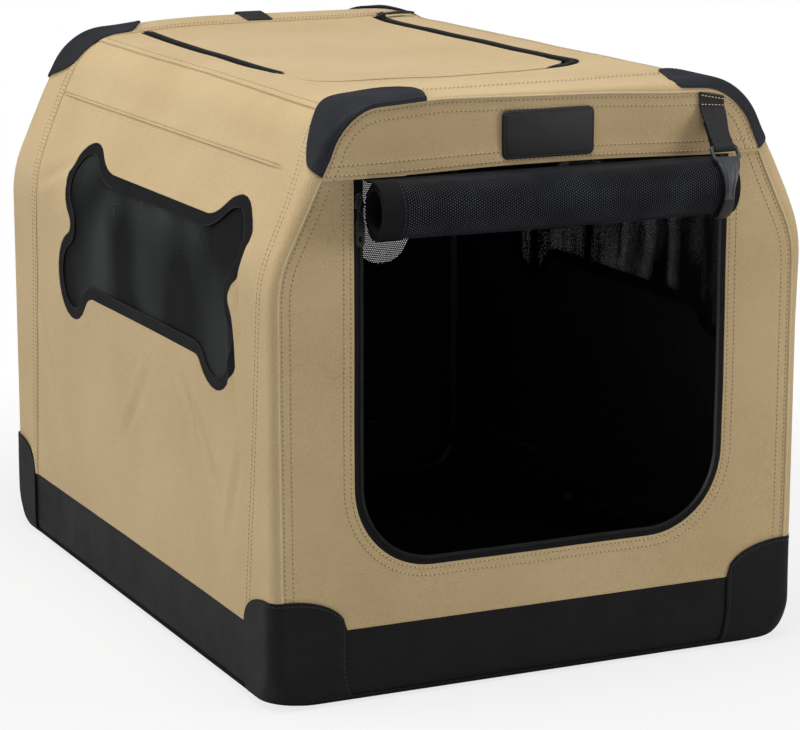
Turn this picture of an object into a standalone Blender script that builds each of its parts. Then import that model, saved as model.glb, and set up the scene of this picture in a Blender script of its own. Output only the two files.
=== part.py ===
# Soft pet crate: two steel hoops joined by four centre-hinged struts, inside a sewn cloth shell.
# Metres. +Z is up, -Y is the doorway end, X runs across. The origin is on the floor, under the middle.
import math

import bmesh
import bpy
from mathutils import Matrix, Vector
from mathutils.geometry import convex_hull_2d

# Shell
LENGTH = 0.690             # front face to rear face
WIDTH = 0.515              # across the upright walls
HEIGHT = 0.520             # floor to roof
LEAN_HEIGHT = 0.143        # how far below the roof the walls start to lean in
LEAN_WIDTH = 0.064         # and how far in each wall leans
BEND_RADIUS = 0.120
ROOF_RADIUS = 0.060
CLOTH = 0.002              # thickness of a sewn panel
GAP = 0.0003               # between pieces that touch

# Base
BAND_HEIGHT = 0.066        # top of the dark band
BASE_EDGE = 0.012          # rounding of the bottom edges
BASE_CORNER = 0.045        # plan radius of the bottom corners, at the floor
BASE_CORNER_HEIGHT = 0.040 # where those corners have tightened to a sleeve's radius
GUARD_THICKNESS = 0.0015
GUARD_RISE = 0.032         # how far the guard's lobe stands above the band
GUARD_FRONT = 0.068        # reach of a guard along the front or rear
GUARD_LIP = 0.002          # how far its two ends stand above the band
GUARD_FIRST_ROW = 3        # the step of the rounded bottom edge where a guard starts
GUARD_COLUMNS = 5

# Sleeves that hold the hoops, and the dark patches on their top corners
SLEEVE_DEPTH = 0.060
PATCH_THICKNESS = 0.0015
PATCH_DROP = 0.057         # a patch's lower edge below the roof
PATCH_REACH = 0.086        # from the roof's corner towards the middle

# Seams
SIDE_SEAM_DROP = 0.0615    # the roof panel's side seams below the roof
HEADER_DEPTH = 0.063       # the header's seam below the roof

# Doorway
DOOR_SIDE = 0.0765         # cloth left at each side of the doorway
DOOR_SILL_HEIGHT = 0.115
DOOR_CORNER = 0.075
ZIPPER_WIDTH = 0.008
SLIDER_LENGTH = 0.013
SLIDER_WIDTH = 0.009
SLIDER_HEIGHT = 0.004
PULL_LENGTH = 0.030
PULL_WIDTH = 0.008
PULL_THICKNESS = 0.002
PULL_LUG_WIDTH = 0.003     # the slider's lug, which the pull's two cheeks straddle
PULL_PIVOT_GAP = 0.0016    # from the slider to the pull's pivot
PULL_EYE = 0.0009          # how far the cheeks and the lug reach past the pivot
PULL_CLEARANCE = 0.0009    # round the lug, inside the pull's notch
DOOR_SLIDER_DROP = 0.020   # the open slider below the header's seam

# Rolled-up door
ROLL_HEIGHT = 0.049        # the roll is pressed flat against the front, so it is an oval
ROLL_DEPTH = 0.038
ROLL_CORE = 0.016          # half the height of its hollow
ROLL_TURNS = 2
ROLL_TURN_STEPS = 16
ROLL_CLOTH = 0.0018
ROLL_LEFT_INSET = 0.009    # the roll's left end inside the doorway's side
ROLL_RIGHT_INSET = 0.013   # and its right end
ROLL_STANDOFF = 0.0225     # axis in front of the front face
ROLL_DROP = 0.0265         # axis below the header seam

# Strap and hook that hold the roll
STRAP_INSET = 0.020        # the strap's middle inside the doorway's side
STRAP_WIDTH = 0.025
STRAP_THICKNESS = 0.0015
STRAP_TOP_DROP = 0.0185    # its sewn end below the roof
STRAP_SEWN = 0.010         # length of the end that is sewn down
HOOK_BAR_RADIUS = 0.002
HOOK_BAR_STANDOFF = 0.026
HOOK_BAR_RISE = 0.0075     # the hook's bar above the header seam
HOOK_SIDE = 0.003          # the hook's two side bars
HOOK_SLOT_CLEARANCE = 0.0005
HOOK_BODY_WIDTH = 0.014
HOOK_THICKNESS = 0.0035
HOOK_CLEARANCE = 0.0015
HOOK_START = 128           # degrees round the roll, from the wall over the top
HOOK_END = 262

# Bare plate on the header
PLATE_WIDTH = 0.088
PLATE_HEIGHT = 0.042
PLATE_THICKNESS = 0.003
PLATE_CORNER = 0.006
PLATE_DROP = 0.0355        # its middle below the roof

# Roof door
FLAP_SIDE = 0.0705         # roof left at each side, to where lean and roof meet
FLAP_FRONT_INSET = 0.078   # the flap's free edge behind the front sleeve
FLAP_REAR_INSET = 0.005    # its hinge line in front of the rear sleeve
FLAP_CORNER = 0.043
ROOF_ZIPPER_WIDTH = 0.014
ROOF_SLIDER_INSET = 0.0105

# Strap over the rear top edge
TIE_X = 0.006
TIE_WIDTH = 0.035
TIE_THICKNESS = 0.0015
TIE_ROOF_REACH = 0.050
TIE_WALL_REACH = 0.070

# Bone-shaped windows
BONE_LOBE = 0.0462         # radius of each of the four lobes
BONE_END = 0.106           # lobe centres inside the sleeves' seams
BONE_LOBE_ACROSS = 0.041
BONE_SHAFT = 0.062         # half the height of the shaft
BONE_FILLET = 0.035        # where a lobe runs into the shaft
BONE_DROP = 0.177          # centre of the side windows below the roof
BONE_FORWARD = 0.040       # centre of the side windows in front of the middle
REAR_BONE_SCALE = 0.93
REAR_BONE_DROP = 0.204
REAR_BONE_END = 0.0942     # lobe centres inside the walls

# Steel frame
TUBE_RADIUS = 0.008
TUBE_SIDES = 8
TUBE_CLEARANCE = 0.0007    # between a hoop and the cloth round it
HOOP_FOOT_RADIUS = 0.046
STRUT_RADIUS = 0.007
UPPER_STRUT_DROP = 0.080   # the upper struts below the roof
LOWER_STRUT_HEIGHT = 0.050
UPPER_STRUT_INBOARD = 0.0176   # strut centre line inboard of the hoop's
LOWER_STRUT_INBOARD = 0.0108
PIVOT_INSET = 0.020        # strut pivots inside the hoop planes
STRUT_PLATE = 0.004        # thickness of a flattened tube end
PLATE_LUG = 0.008          # radius of the eye at a flattened end
STUD_RADIUS = 0.003
RUNNING_CLEARANCE = 0.0004
HEAD_RADIUS = 0.0048
HEAD_THICKNESS = 0.002
EAR_HALF_HEIGHT = 0.008
TUBE_START = 0.014         # where the round tube starts, from its pivot

# Knuckles at the middle of each strut
KNUCKLE_PIN_OFFSET = 0.010
KNUCKLE_CHEEK = 0.007
KNUCKLE_HALF_HEIGHT = 0.009
KNUCKLE_LUG = 0.009
KNUCKLE_REAR = 0.060       # end of the socket, from the pin
KNUCKLE_SLOT = 0.034       # depth of the slot, from the pin
KNUCKLE_WEB_START = 0.010
KNUCKLE_WEB_TOP = 0.0005
TONGUE_LENGTH = 0.030      # from the pin to the front tube
BUTTON_RADIUS = 0.005
BUTTON_FROM_PIN = 0.022
BUTTON_POCKET = 0.0052
BUTTON_TRAVEL = 0.003
BUTTON_PROUD = 0.004

ARC_STEPS = 5
SMOOTH_ANGLE = 35          # degrees between faces that are shaded as one
ROUND_SIDES = 12

# Pieces that travel with the front hoop when the crate folds
FRONT_END = ("front_hoop", "front_sleeve_left", "front_sleeve_top", "front_sleeve_right", "front_base", "front_panel",
             "header_panel", "door_zipper", "front_left_guard", "front_right_guard", "front_left_patch",
             "front_right_patch", "rolled_door", "hook_strap", "roll_hook", "blank_plate", "door_slider", "door_pull")

# Sizes that follow from those above
EDGE = CLOTH + TUBE_CLEARANCE + TUBE_RADIUS
FRONT = -LENGTH / 2
SEAM_Y = LENGTH / 2 - SLEEVE_DEPTH
HOOP_Y = LENGTH / 2 - EDGE
PIVOT_Y = HOOP_Y - PIVOT_INSET
BEND_HEIGHT = HEIGHT - LEAN_HEIGHT
ROOF_HALF_WIDTH = WIDTH / 2 - LEAN_WIDTH
SIDE_SEAM_HEIGHT = HEIGHT - SIDE_SEAM_DROP
HEADER_SEAM_HEIGHT = HEIGHT - HEADER_DEPTH
DOOR_HALF_WIDTH = WIDTH / 2 - DOOR_SIDE
DOOR_ROLL_AXIS = (FRONT - ROLL_STANDOFF, HEADER_SEAM_HEIGHT - ROLL_DROP)
STRAP_X = DOOR_HALF_WIDTH - STRAP_INSET
HOOK_BAR = (FRONT - HOOK_BAR_STANDOFF, HEADER_SEAM_HEIGHT + HOOK_BAR_RISE)
FLAP_HALF_WIDTH = ROOF_HALF_WIDTH - FLAP_SIDE
FLAP_FRONT = SEAM_Y - FLAP_FRONT_INSET
FLAP_HINGE = SEAM_Y - FLAP_REAR_INSET
KNUCKLE_HALF_WIDTH = KNUCKLE_CHEEK + STRUT_PLATE / 2 + RUNNING_CLEARANCE


# Finishes
def finish(name, colour, roughness, metallic=0.0):
    material = bpy.data.materials.new(name)
    material.use_nodes = True
    shader = material.node_tree.nodes["Principled BSDF"]
    shader.inputs["Base Color"].default_value = (*colour, 1.0)
    shader.inputs["Roughness"].default_value = roughness
    shader.inputs["Metallic"].default_value = metallic
    material.diffuse_color = (*colour, 1.0)
    return material


# Outlines, as lists of 2D points
def rounded(corners, radii, inset=0.0, closed=False, steps=ARC_STEPS):
    """A clockwise outline moved inwards by inset, with its corners turned to arcs."""
    count = len(corners)
    sides = []
    for i in range(count if closed else count - 1):
        start, end = Vector(corners[i]), Vector(corners[(i + 1) % count])
        along = (end - start).normalized()
        inward = Vector((along.y, -along.x))
        sides.append((start + inward * inset, end + inward * inset, along, inward))
    points = [] if closed else [sides[0][0]]
    for i in (range(count) if closed else range(1, count - 1)):
        before, after = sides[i - 1], sides[i]
        spread = before[2].cross(after[2])
        shift = (after[0] - before[0]).cross(after[2]) / spread
        corner = before[0] + before[2] * shift
        radius = radii[i] - inset
        if radii[i] <= 0 or radius <= 0:
            points.append(corner)
            continue
        turn = before[2].angle(after[2])
        start = corner - before[2] * radius * math.tan(turn / 2)
        centre = start + before[3] * radius
        for step in range(steps + 1):
            angle = -turn * step / steps
            spoke = start - centre
            points.append(centre + Vector((spoke.x * math.cos(angle) - spoke.y * math.sin(angle),
                                           spoke.x * math.sin(angle) + spoke.y * math.cos(angle))))
    if not closed:
        points.append(sides[-1][1])
    return [tuple(p) for p in points]


def circle(centre, radius, sides=ROUND_SIDES):
    return [(centre[0] + radius * math.cos(2 * math.pi * i / sides),
             centre[1] + radius * math.sin(2 * math.pi * i / sides)) for i in range(sides)]


def arc(centre, radius, start, end, steps=ARC_STEPS):
    """Points from the start angle to the end angle, in degrees."""
    angles = [math.radians(start + (end - start) * i / steps) for i in range(steps + 1)]
    return [(centre[0] + radius * math.cos(a), centre[1] + radius * math.sin(a)) for a in angles]


def oval(centre, half_depth, half_height, start, end, steps):
    """Points round an oval, between two angles in degrees."""
    return [(centre[0] + half_depth * x, centre[1] + half_height * z) for x, z in arc((0.0, 0.0), 1.0, start, end, steps)]


def hull(points):
    return [points[i] for i in convex_hull_2d(points)]


def box(low, high):
    return [(low[0], low[1]), (low[0], high[1]), (high[0], high[1]), (high[0], low[1])]


def strip(path, thickness):
    """The outline of a band of cloth or plate that follows an open path, half to each side."""
    sides = [[], []]
    for i, here in enumerate(path):
        before, after = Vector(path[max(i - 1, 0)]), Vector(path[min(i + 1, len(path) - 1)])
        here = Vector(here)
        one = (here - before).normalized() if i else (after - here).normalized()
        two = (after - here).normalized() if i < len(path) - 1 else one
        along = (one + two).normalized()
        across = Vector((along.y, -along.x)) * thickness / 2 / max(along.dot(one), 0.5)
        sides[0].append(tuple(here + across))
        sides[1].append(tuple(here - across))
    return sides[0] + sides[1][::-1]


def least_gap(path, thickness, apart):
    """The least gap between the turns of a wound band, from points at least some steps apart."""
    points = [Vector(p) for p in path]
    pairs = ((a, b) for i, a in enumerate(points) for b in points[i + apart:])
    return min((a - b).length for a, b in pairs) - thickness


def clipped(outline, height, above):
    """The part of a closed outline above, or below, a height."""
    kept = []
    for i, here in enumerate(outline):
        before = outline[i - 1]
        inside, was_inside = ((p[1] >= height) == above for p in (here, before))
        if inside != was_inside:
            share = (height - before[1]) / (here[1] - before[1])
            kept.append((before[0] + (here[0] - before[0]) * share, height))
        if inside:
            kept.append(here)
    return kept


def shell_corners(foot):
    """The crate's cross-section from the left foot over the roof to the right foot."""
    half = WIDTH / 2
    return [(-half, foot), (-half, BEND_HEIGHT), (-ROOF_HALF_WIDTH, HEIGHT),
            (ROOF_HALF_WIDTH, HEIGHT), (half, BEND_HEIGHT), (half, foot)]


def shell_path(foot, inset=0.0):
    return rounded(shell_corners(foot), [0, BEND_RADIUS, ROOF_RADIUS, ROOF_RADIUS, BEND_RADIUS, 0], inset)


def half_width_at(height, inset=0.0):
    """Half the shell's width at a height, read from its rounded outline."""
    path = shell_path(0.0, inset)
    for low, high in zip(path, path[1:]):
        if low[1] <= height <= high[1] and high[1] > low[1]:
            return -(low[0] + (high[0] - low[0]) * (height - low[1]) / (high[1] - low[1]))
    return ROOF_HALF_WIDTH


def bone(centre, along, scale=1.0, shrink=0.0):
    """A bone lying along the first axis: four round lobes that run smoothly into a straight shaft."""
    lobe = BONE_LOBE * scale - shrink
    across = BONE_LOBE_ACROSS * scale
    fillet = BONE_FILLET * scale + shrink
    rise = (BONE_SHAFT + BONE_FILLET) * scale - across
    run = math.sqrt((lobe + fillet) ** 2 - rise ** 2)
    lean = math.degrees(math.atan2(rise, -run))
    notch = math.degrees(math.asin(across / lobe))
    points = arc((along - run, across + rise), fillet, 270, lean + 180, 4)
    points += arc((along, across), lobe, lean, -notch, 10)[1:]
    points += [(x, -y) for x, y in points[-2::-1]]
    points += [(-x, -y) for x, y in points]
    return [(centre[0] + x, centre[1] + y) for x, y in points]


def door_outline(inset, top):
    """The doorway: straight sides and a sill with large corners, open at the top."""
    half, sill = DOOR_HALF_WIDTH - inset, DOOR_SILL_HEIGHT + inset
    corners = [(-half, sill), (-half, top), (half, top), (half, sill)]
    radii = [DOOR_CORNER - inset, 0, 0, DOOR_CORNER - inset]
    return rounded(corners, radii, closed=True, steps=2 * ARC_STEPS)


def flap_outline(grow, rear):
    half, front = FLAP_HALF_WIDTH + grow, -FLAP_FRONT - grow
    corners = [(-half, front), (-half, rear), (half, rear), (half, front)]
    radii = [FLAP_CORNER + grow, 0, 0, FLAP_CORNER + grow]
    return rounded(corners, radii, closed=True, steps=2 * ARC_STEPS)


# Solids
def add_object(name, mesh_data, material):
    bmesh.ops.recalc_face_normals(mesh_data, faces=mesh_data.faces)
    mesh = bpy.data.meshes.new(name)
    mesh_data.to_mesh(mesh)
    mesh_data.free()
    mesh.shade_smooth()
    mesh.set_sharp_from_angle(angle=math.radians(SMOOTH_ANGLE))
    item = bpy.data.objects.new(name, mesh)
    bpy.context.scene.collection.objects.link(item)
    if material:
        mesh.materials.append(material)
    return item


def prism(name, outline, low, high, axis, material=None):
    """An outline pushed from low to high along an axis."""
    def place(point, depth):
        return {"X": (depth, *point), "Y": (point[0], depth, point[1]), "Z": (*point, depth)}[axis]

    mesh_data = bmesh.new()
    face = mesh_data.faces.new([mesh_data.verts.new(place(p, low)) for p in outline])
    grown = bmesh.ops.extrude_face_region(mesh_data, geom=[face])["geom"]
    moved = [v for v in grown if isinstance(v, bmesh.types.BMVert)]
    bmesh.ops.translate(mesh_data, verts=moved, vec=place((0.0, 0.0), high - low))
    return add_object(name, mesh_data, material)


def loft(name, chains, material=None, ring=False):
    """A solid whose skin runs from chain to chain of equal points, and back to the first chain."""
    mesh_data = bmesh.new()
    loops = []
    for chain in chains:
        verts = [mesh_data.verts.new(p) for p in chain]
        pairs = list(zip(verts, verts[1:]))
        if ring:
            pairs.append((verts[-1], verts[0]))
        loops.append([mesh_data.edges.new(pair) for pair in pairs])
    for one, other in zip(loops, loops[1:] + loops[:1]):
        bmesh.ops.bridge_loops(mesh_data, edges=one + other)
    open_edges = [e for e in mesh_data.edges if e.is_boundary]
    if open_edges:
        bmesh.ops.holes_fill(mesh_data, edges=open_edges, sides=0)
    return add_object(name, mesh_data, material)


def cup(name, rings, material=None):
    """A solid through level rings, with a flat bottom and a flat top."""
    mesh_data = bmesh.new()
    loops = []
    for ring in rings:
        verts = [mesh_data.verts.new(p) for p in ring]
        loops.append([mesh_data.edges.new(pair) for pair in zip(verts, verts[1:] + verts[:1])])
    for one, other in zip(loops, loops[1:]):
        bmesh.ops.bridge_loops(mesh_data, edges=one + other)
    bmesh.ops.holes_fill(mesh_data, edges=[e for e in mesh_data.edges if e.is_boundary], sides=0)
    return add_object(name, mesh_data, material)


def turned(name, profile, centre, material=None):
    """A round solid on an X axis, from (position along X, radius) steps."""
    mesh_data = bmesh.new()
    verts = [mesh_data.verts.new((x, 0.0, 0.0)) for x in (profile[0][0], profile[-1][0])]
    points = [mesh_data.verts.new((x, 0.0, radius)) for x, radius in profile]
    line = [verts[0], *points, verts[1]]
    edges = [mesh_data.edges.new(pair) for pair in zip(line, line[1:])]
    bmesh.ops.spin(mesh_data, geom=line + edges, cent=(0, 0, 0), axis=(1, 0, 0), angle=2 * math.pi,
                   steps=ROUND_SIDES, use_merge=True)
    bmesh.ops.remove_doubles(mesh_data, verts=mesh_data.verts, dist=1e-6)
    bmesh.ops.translate(mesh_data, verts=mesh_data.verts, vec=(0.0, *centre))
    return add_object(name, mesh_data, material)


def turn_about(item, point):
    """Put an object's origin on its joint, with its shape left where it is."""
    item.data.transform(Matrix.Translation([-v for v in point]))
    item.location = point
    return item


def carry(name, point, items):
    """Parent pieces that move as one to an empty on their joint."""
    empty = bpy.data.objects.new(name, None)
    empty.location = point
    bpy.context.scene.collection.objects.link(empty)
    for item in items:
        item.parent = empty
        item.matrix_parent_inverse = Matrix.Translation([-v for v in point])
    return empty


def change(target, tool, operation):
    step = target.modifiers.new(tool.name, "BOOLEAN")
    step.operation = operation
    step.object = tool
    tool.hide_render = True
    tool.display_type = "WIRE"


def cut(target, tool):
    change(target, tool, "DIFFERENCE")


def join(target, tool):
    change(target, tool, "UNION")


def keep(target, tool):
    change(target, tool, "INTERSECT")


# Cloth shell
def wall_strip(path_outer, path_inner):
    return path_outer + path_inner[::-1]


def side_outline(side):
    """One wall's section, from the band up to the side seam."""
    foot, top = BAND_HEIGHT + GAP, SIDE_SEAM_HEIGHT
    strips = []
    for inset in (0.0, CLOTH):
        path = [p for p in shell_path(foot, inset) if p[0] < 0]
        path = [p for p in path if p[1] < top] + [(-half_width_at(top, inset), top)]
        strips.append(path)
    return [(-side * x, z) for x, z in wall_strip(*strips)]


def roof_section():
    """The roof's section, from side seam over the roof to side seam."""
    foot = SIDE_SEAM_HEIGHT + GAP
    strips = []
    for inset in (0.0, CLOTH):
        left = (-half_width_at(foot, inset), foot)
        path = [p for p in shell_path(0.0, inset) if p[1] > foot]
        strips.append([left] + path + [(-left[0], foot)])
    return wall_strip(*strips)


def make_side(name, side, cloth, netting):
    panel = prism(name + "_panel", side_outline(side), -SEAM_Y, SEAM_Y, "Y", cloth)
    centre, along = (-BONE_FORWARD, HEIGHT - BONE_DROP), SEAM_Y - BONE_END
    reach = (0.0, side * WIDTH)
    cut(panel, prism(name + "_window_cutter", bone(centre, along), *reach, "X"))
    window = prism(name + "_window", side_outline(side), -SEAM_Y, SEAM_Y, "Y", netting)
    keep(window, prism(name + "_window_outline", bone(centre, along, shrink=GAP), *reach, "X"))


def make_roof(cloth, dark):
    panel = prism("roof_panel", roof_section(), -SEAM_Y, SEAM_Y, "Y", cloth)
    level = (HEIGHT - 3 * CLOTH, HEIGHT + 3 * CLOTH)
    opening = flap_outline(ROOF_ZIPPER_WIDTH + GAP, FLAP_HINGE + GAP)
    cut(panel, prism("roof_cutter", opening, *level, "Z"))
    flap = prism("roof_flap", flap_outline(-GAP, FLAP_HINGE), HEIGHT - CLOTH, HEIGHT, "Z", cloth)
    turn_about(flap, (0.0, FLAP_HINGE, HEIGHT))
    zipper = prism("roof_zipper", flap_outline(ROOF_ZIPPER_WIDTH, FLAP_HINGE), HEIGHT - CLOTH - GAP, HEIGHT, "Z", dark)
    inner = flap_outline(0.0, FLAP_HINGE + CLOTH)
    cut(zipper, prism("roof_zipper_cutter", inner, *level, "Z"))


def panel_outline():
    """The flat end wall, inside the seam that joins it to the sleeve."""
    return shell_path(BAND_HEIGHT + GAP, EDGE + GAP)


def make_front(cloth, dark):
    face = (FRONT, FRONT + CLOTH)
    lower = clipped(panel_outline(), HEADER_SEAM_HEIGHT - GAP, above=False)
    panel = prism("front_panel", lower, *face, "Y", cloth)
    cut(panel, prism("door_cutter", door_outline(0.0, HEIGHT), FRONT - CLOTH, FRONT + 2 * CLOTH, "Y"))
    prism("header_panel", clipped(panel_outline(), HEADER_SEAM_HEIGHT, above=True), *face, "Y", cloth)
    top = HEADER_SEAM_HEIGHT - GAP
    zipper = prism("door_zipper", door_outline(GAP, top), FRONT - GAP, FRONT + CLOTH, "Y", dark)
    cut(zipper, prism("door_zipper_cutter", door_outline(ZIPPER_WIDTH, HEIGHT),
                      FRONT - CLOTH, FRONT + 2 * CLOTH, "Y"))


def make_rear(cloth, netting):
    face = (-FRONT - CLOTH, -FRONT)
    panel = prism("rear_panel", panel_outline(), *face, "Y", cloth)
    centre, along = (0.0, HEIGHT - REAR_BONE_DROP), WIDTH / 2 - REAR_BONE_END
    reach = (-FRONT - 3 * CLOTH, -FRONT + 2 * CLOTH)
    cut(panel, prism("rear_window_cutter", bone(centre, along, REAR_BONE_SCALE), *reach, "Y"))
    prism("rear_window", bone(centre, along, REAR_BONE_SCALE, GAP), *face, "Y", netting)


def sleeve_section(end, outer, thickness):
    """A sleeve's section as (inset from the shell, y): round the hoop and along the wall."""
    radius = EDGE + outer
    points = []
    for level in (radius, radius - thickness):
        for step in range(ARC_STEPS + 1):
            angle = math.pi / 2 * step / ARC_STEPS
            points.append((EDGE - level * math.sin(angle), FRONT + EDGE - level * math.cos(angle)))
        points.append((EDGE - level, -SEAM_Y - GAP))
    half = len(points) // 2
    section = points[:half] + points[half:][::-1]
    return [(inset, -end * y) for inset, y in section]


def swept(name, corners, radii, section, material):
    chains = []
    for inset, y in section:
        chains.append([(x, y, z) for x, z in rounded(corners, radii, inset)])
    return loft(name, chains, material)


def make_sleeve(name, end, cloth):
    """A sleeve in three runs of cloth, sewn end to end at the bends of the hoop."""
    radii = [0, BEND_RADIUS, ROOF_RADIUS, ROOF_RADIUS, BEND_RADIUS, 0]
    reach = (-LENGTH, LENGTH)
    left, right = ((side * WIDTH, side * GAP) for side in (-1, 1))
    runs = (("left", (*left, 0.0, BEND_HEIGHT - GAP)), ("right", (*right, 0.0, BEND_HEIGHT - GAP)),
            ("top", (-WIDTH, WIDTH, BEND_HEIGHT, 2 * HEIGHT)))
    for word, (near, far, foot, top) in runs:
        run = swept(f"{name}_{word}", shell_corners(BAND_HEIGHT + GAP), radii, sleeve_section(end, 0.0, CLOTH), cloth)
        outline = [(near, foot), (far, foot), (far, top), (near, top)]
        keep(run, prism(f"{name}_{word}_cutter", outline, *reach, "Y"))


def make_patch(name, side, end, dark):
    """A dark patch over one top corner of a sleeve."""
    lean = LEAN_WIDTH / LEAN_HEIGHT
    foot = (-ROOF_HALF_WIDTH - PATCH_DROP * lean, HEIGHT - PATCH_DROP)
    corners = [foot, (-ROOF_HALF_WIDTH, HEIGHT), (-ROOF_HALF_WIDTH + PATCH_REACH, HEIGHT)]
    outer = GAP + PATCH_THICKNESS
    chains = []
    for inset, y in sleeve_section(end, outer, PATCH_THICKNESS):
        chains.append([(-side * x, y, z) for x, z in rounded(corners, [0, ROOF_RADIUS, 0], inset)])
    loft(name, chains, dark)


# Base
def base_corner(height):
    """Plan radius of the outer corners: wide at the floor, and as tight as a sleeve higher up."""
    share = max(0.0, 1 - height / BASE_CORNER_HEIGHT)
    return EDGE + (BASE_CORNER - EDGE) * share ** 2


def base_steps(inner):
    """Rows up the base's wall as (inset, height, plan radius), inner metres inside its skin."""
    rows = []
    for step in range(ARC_STEPS + 1):
        angle = math.pi / 2 * step / ARC_STEPS
        across, up = math.sin(angle), math.cos(angle)
        rows.append((BASE_EDGE - (BASE_EDGE - inner) * across, BASE_EDGE - (BASE_EDGE - inner) * up,
                     base_corner(BASE_EDGE * (1 - up)) - inner * across))
    for step in range(1, 4):
        height = BASE_EDGE + (BASE_CORNER_HEIGHT - BASE_EDGE) * step / 3
        rows.append((inner, height, base_corner(height) - inner))
    rows.append((inner, BAND_HEIGHT, EDGE - inner))
    return rows


def base_ring(end, row, seam):
    inset, height, radius = row
    half, face = WIDTH / 2 - inset, LENGTH / 2 - inset
    corners = [(-half, -face), (-half, -seam), (half, -seam), (half, -face)]
    ring = rounded(corners, [radius, 0, 0, radius], closed=True)
    return [(x, -end * y, height) for x, y in ring]


def make_base(name, end, dark):
    seam = SEAM_Y + GAP
    tray = cup(name, [base_ring(end, row, seam) for row in base_steps(0.0)], dark)
    inner = [base_ring(end, row, seam - CLOTH) for row in base_steps(CLOTH)]
    above = [(x, y, BAND_HEIGHT + CLOTH) for x, y, z in inner[-1]]
    cut(tray, cup(name + "_cutter", inner + [above]))


def make_floor(dark):
    """The middle of the base: floor and both side bands, in one piece of cloth."""
    outline = []
    for inner, order in ((0.0, 1), (CLOTH, -1)):
        left = [(inset - WIDTH / 2, height) for inset, height, _ in base_steps(inner)[::-1]]
        outline += (left + [(-x, z) for x, z in left[::-1]])[::order]
    prism("floor_sling", outline, -SEAM_Y, SEAM_Y, "Y", dark)


def guard_chain(row):
    """Points round a front corner in one row, from the front face to the sleeve's seam."""
    inset, _, radius = row
    half, face = WIDTH / 2 - inset, LENGTH / 2 - inset
    corners = [(-WIDTH / 2 + GUARD_FRONT, -face), (-half, -face), (-half, -SEAM_Y - 2 * GAP)]
    chain = [Vector(p) for p in rounded(corners, [0, radius, 0])]
    front = [chain[0].lerp(chain[1], i / GUARD_COLUMNS) for i in range(GUARD_COLUMNS)]
    wall = [chain[-1].lerp(chain[-2], i / GUARD_COLUMNS) for i in range(GUARD_COLUMNS)]
    return front + chain[1:-1] + wall[::-1]


def make_guard(name, side, end, dark):
    """A lobed patch round one bottom corner, over the band, the sleeve and the end wall."""
    rises = []
    for x, y in guard_chain(base_steps(0.0)[-1]):
        reached = max((x + WIDTH / 2) / GUARD_FRONT, (y + LENGTH / 2) / SLEEVE_DEPTH)
        rises.append(GUARD_LIP + (GUARD_RISE - GUARD_LIP) * math.sqrt(max(0.0, 1 - reached ** 2)))
    sheets = []
    for outward in (GAP + GUARD_THICKNESS, GAP):
        rows = base_steps(-outward)[GUARD_FIRST_ROW:]
        sheet = [[(-side * x, -end * y, row[1]) for x, y in guard_chain(row)] for row in rows]
        sheet.append([(x, y, z + rise) for (x, y, z), rise in zip(sheet[-1], rises)])
        sheets.append(sheet)
    loft(name, sheets[0] + sheets[1][::-1], dark)


# Door, strap, hook and small parts
def make_roll(netting):
    """The mesh door, rolled up under the header and hanging from its seam."""
    steps = ROLL_TURN_STEPS * ROLL_TURNS
    path = []
    for i in range(steps + 1):
        share = i / steps
        angle = math.radians(90 + 360 * ROLL_TURNS * (1 - share))
        radius = ROLL_CORE + ((ROLL_HEIGHT - ROLL_CLOTH) / 2 - ROLL_CORE) * share
        across = radius * ROLL_DEPTH / ROLL_HEIGHT
        path.append((DOOR_ROLL_AXIS[0] + across * math.cos(angle), DOOR_ROLL_AXIS[1] + radius * math.sin(angle)))
    print(f"rolled door: least gap {1000 * least_gap(path, ROLL_CLOTH, ROLL_TURN_STEPS // 2):.2f} mm between turns")
    path.append((FRONT - 3 * GAP, path[-1][1]))
    reach = (ROLL_LEFT_INSET - DOOR_HALF_WIDTH, DOOR_HALF_WIDTH - ROLL_RIGHT_INSET)
    prism("rolled_door", strip(path, ROLL_CLOTH), *reach, "X", netting)


def make_strap(dark):
    """Webbing from the top seam, over the header and round the hook's bar."""
    wrap = HOOK_BAR_RADIUS + RUNNING_CLEARANCE + STRAP_THICKNESS / 2
    lie = FRONT - GAP - STRAP_THICKNESS / 2
    top = HEIGHT - STRAP_TOP_DROP
    path = [(lie, top), (lie, top - STRAP_SEWN)]
    path += arc(HOOK_BAR, wrap, 60, 300, 9)
    reach = (STRAP_X - STRAP_WIDTH / 2, STRAP_X + STRAP_WIDTH / 2)
    prism("hook_strap", strip(path, STRAP_THICKNESS), *reach, "X", dark)


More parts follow.
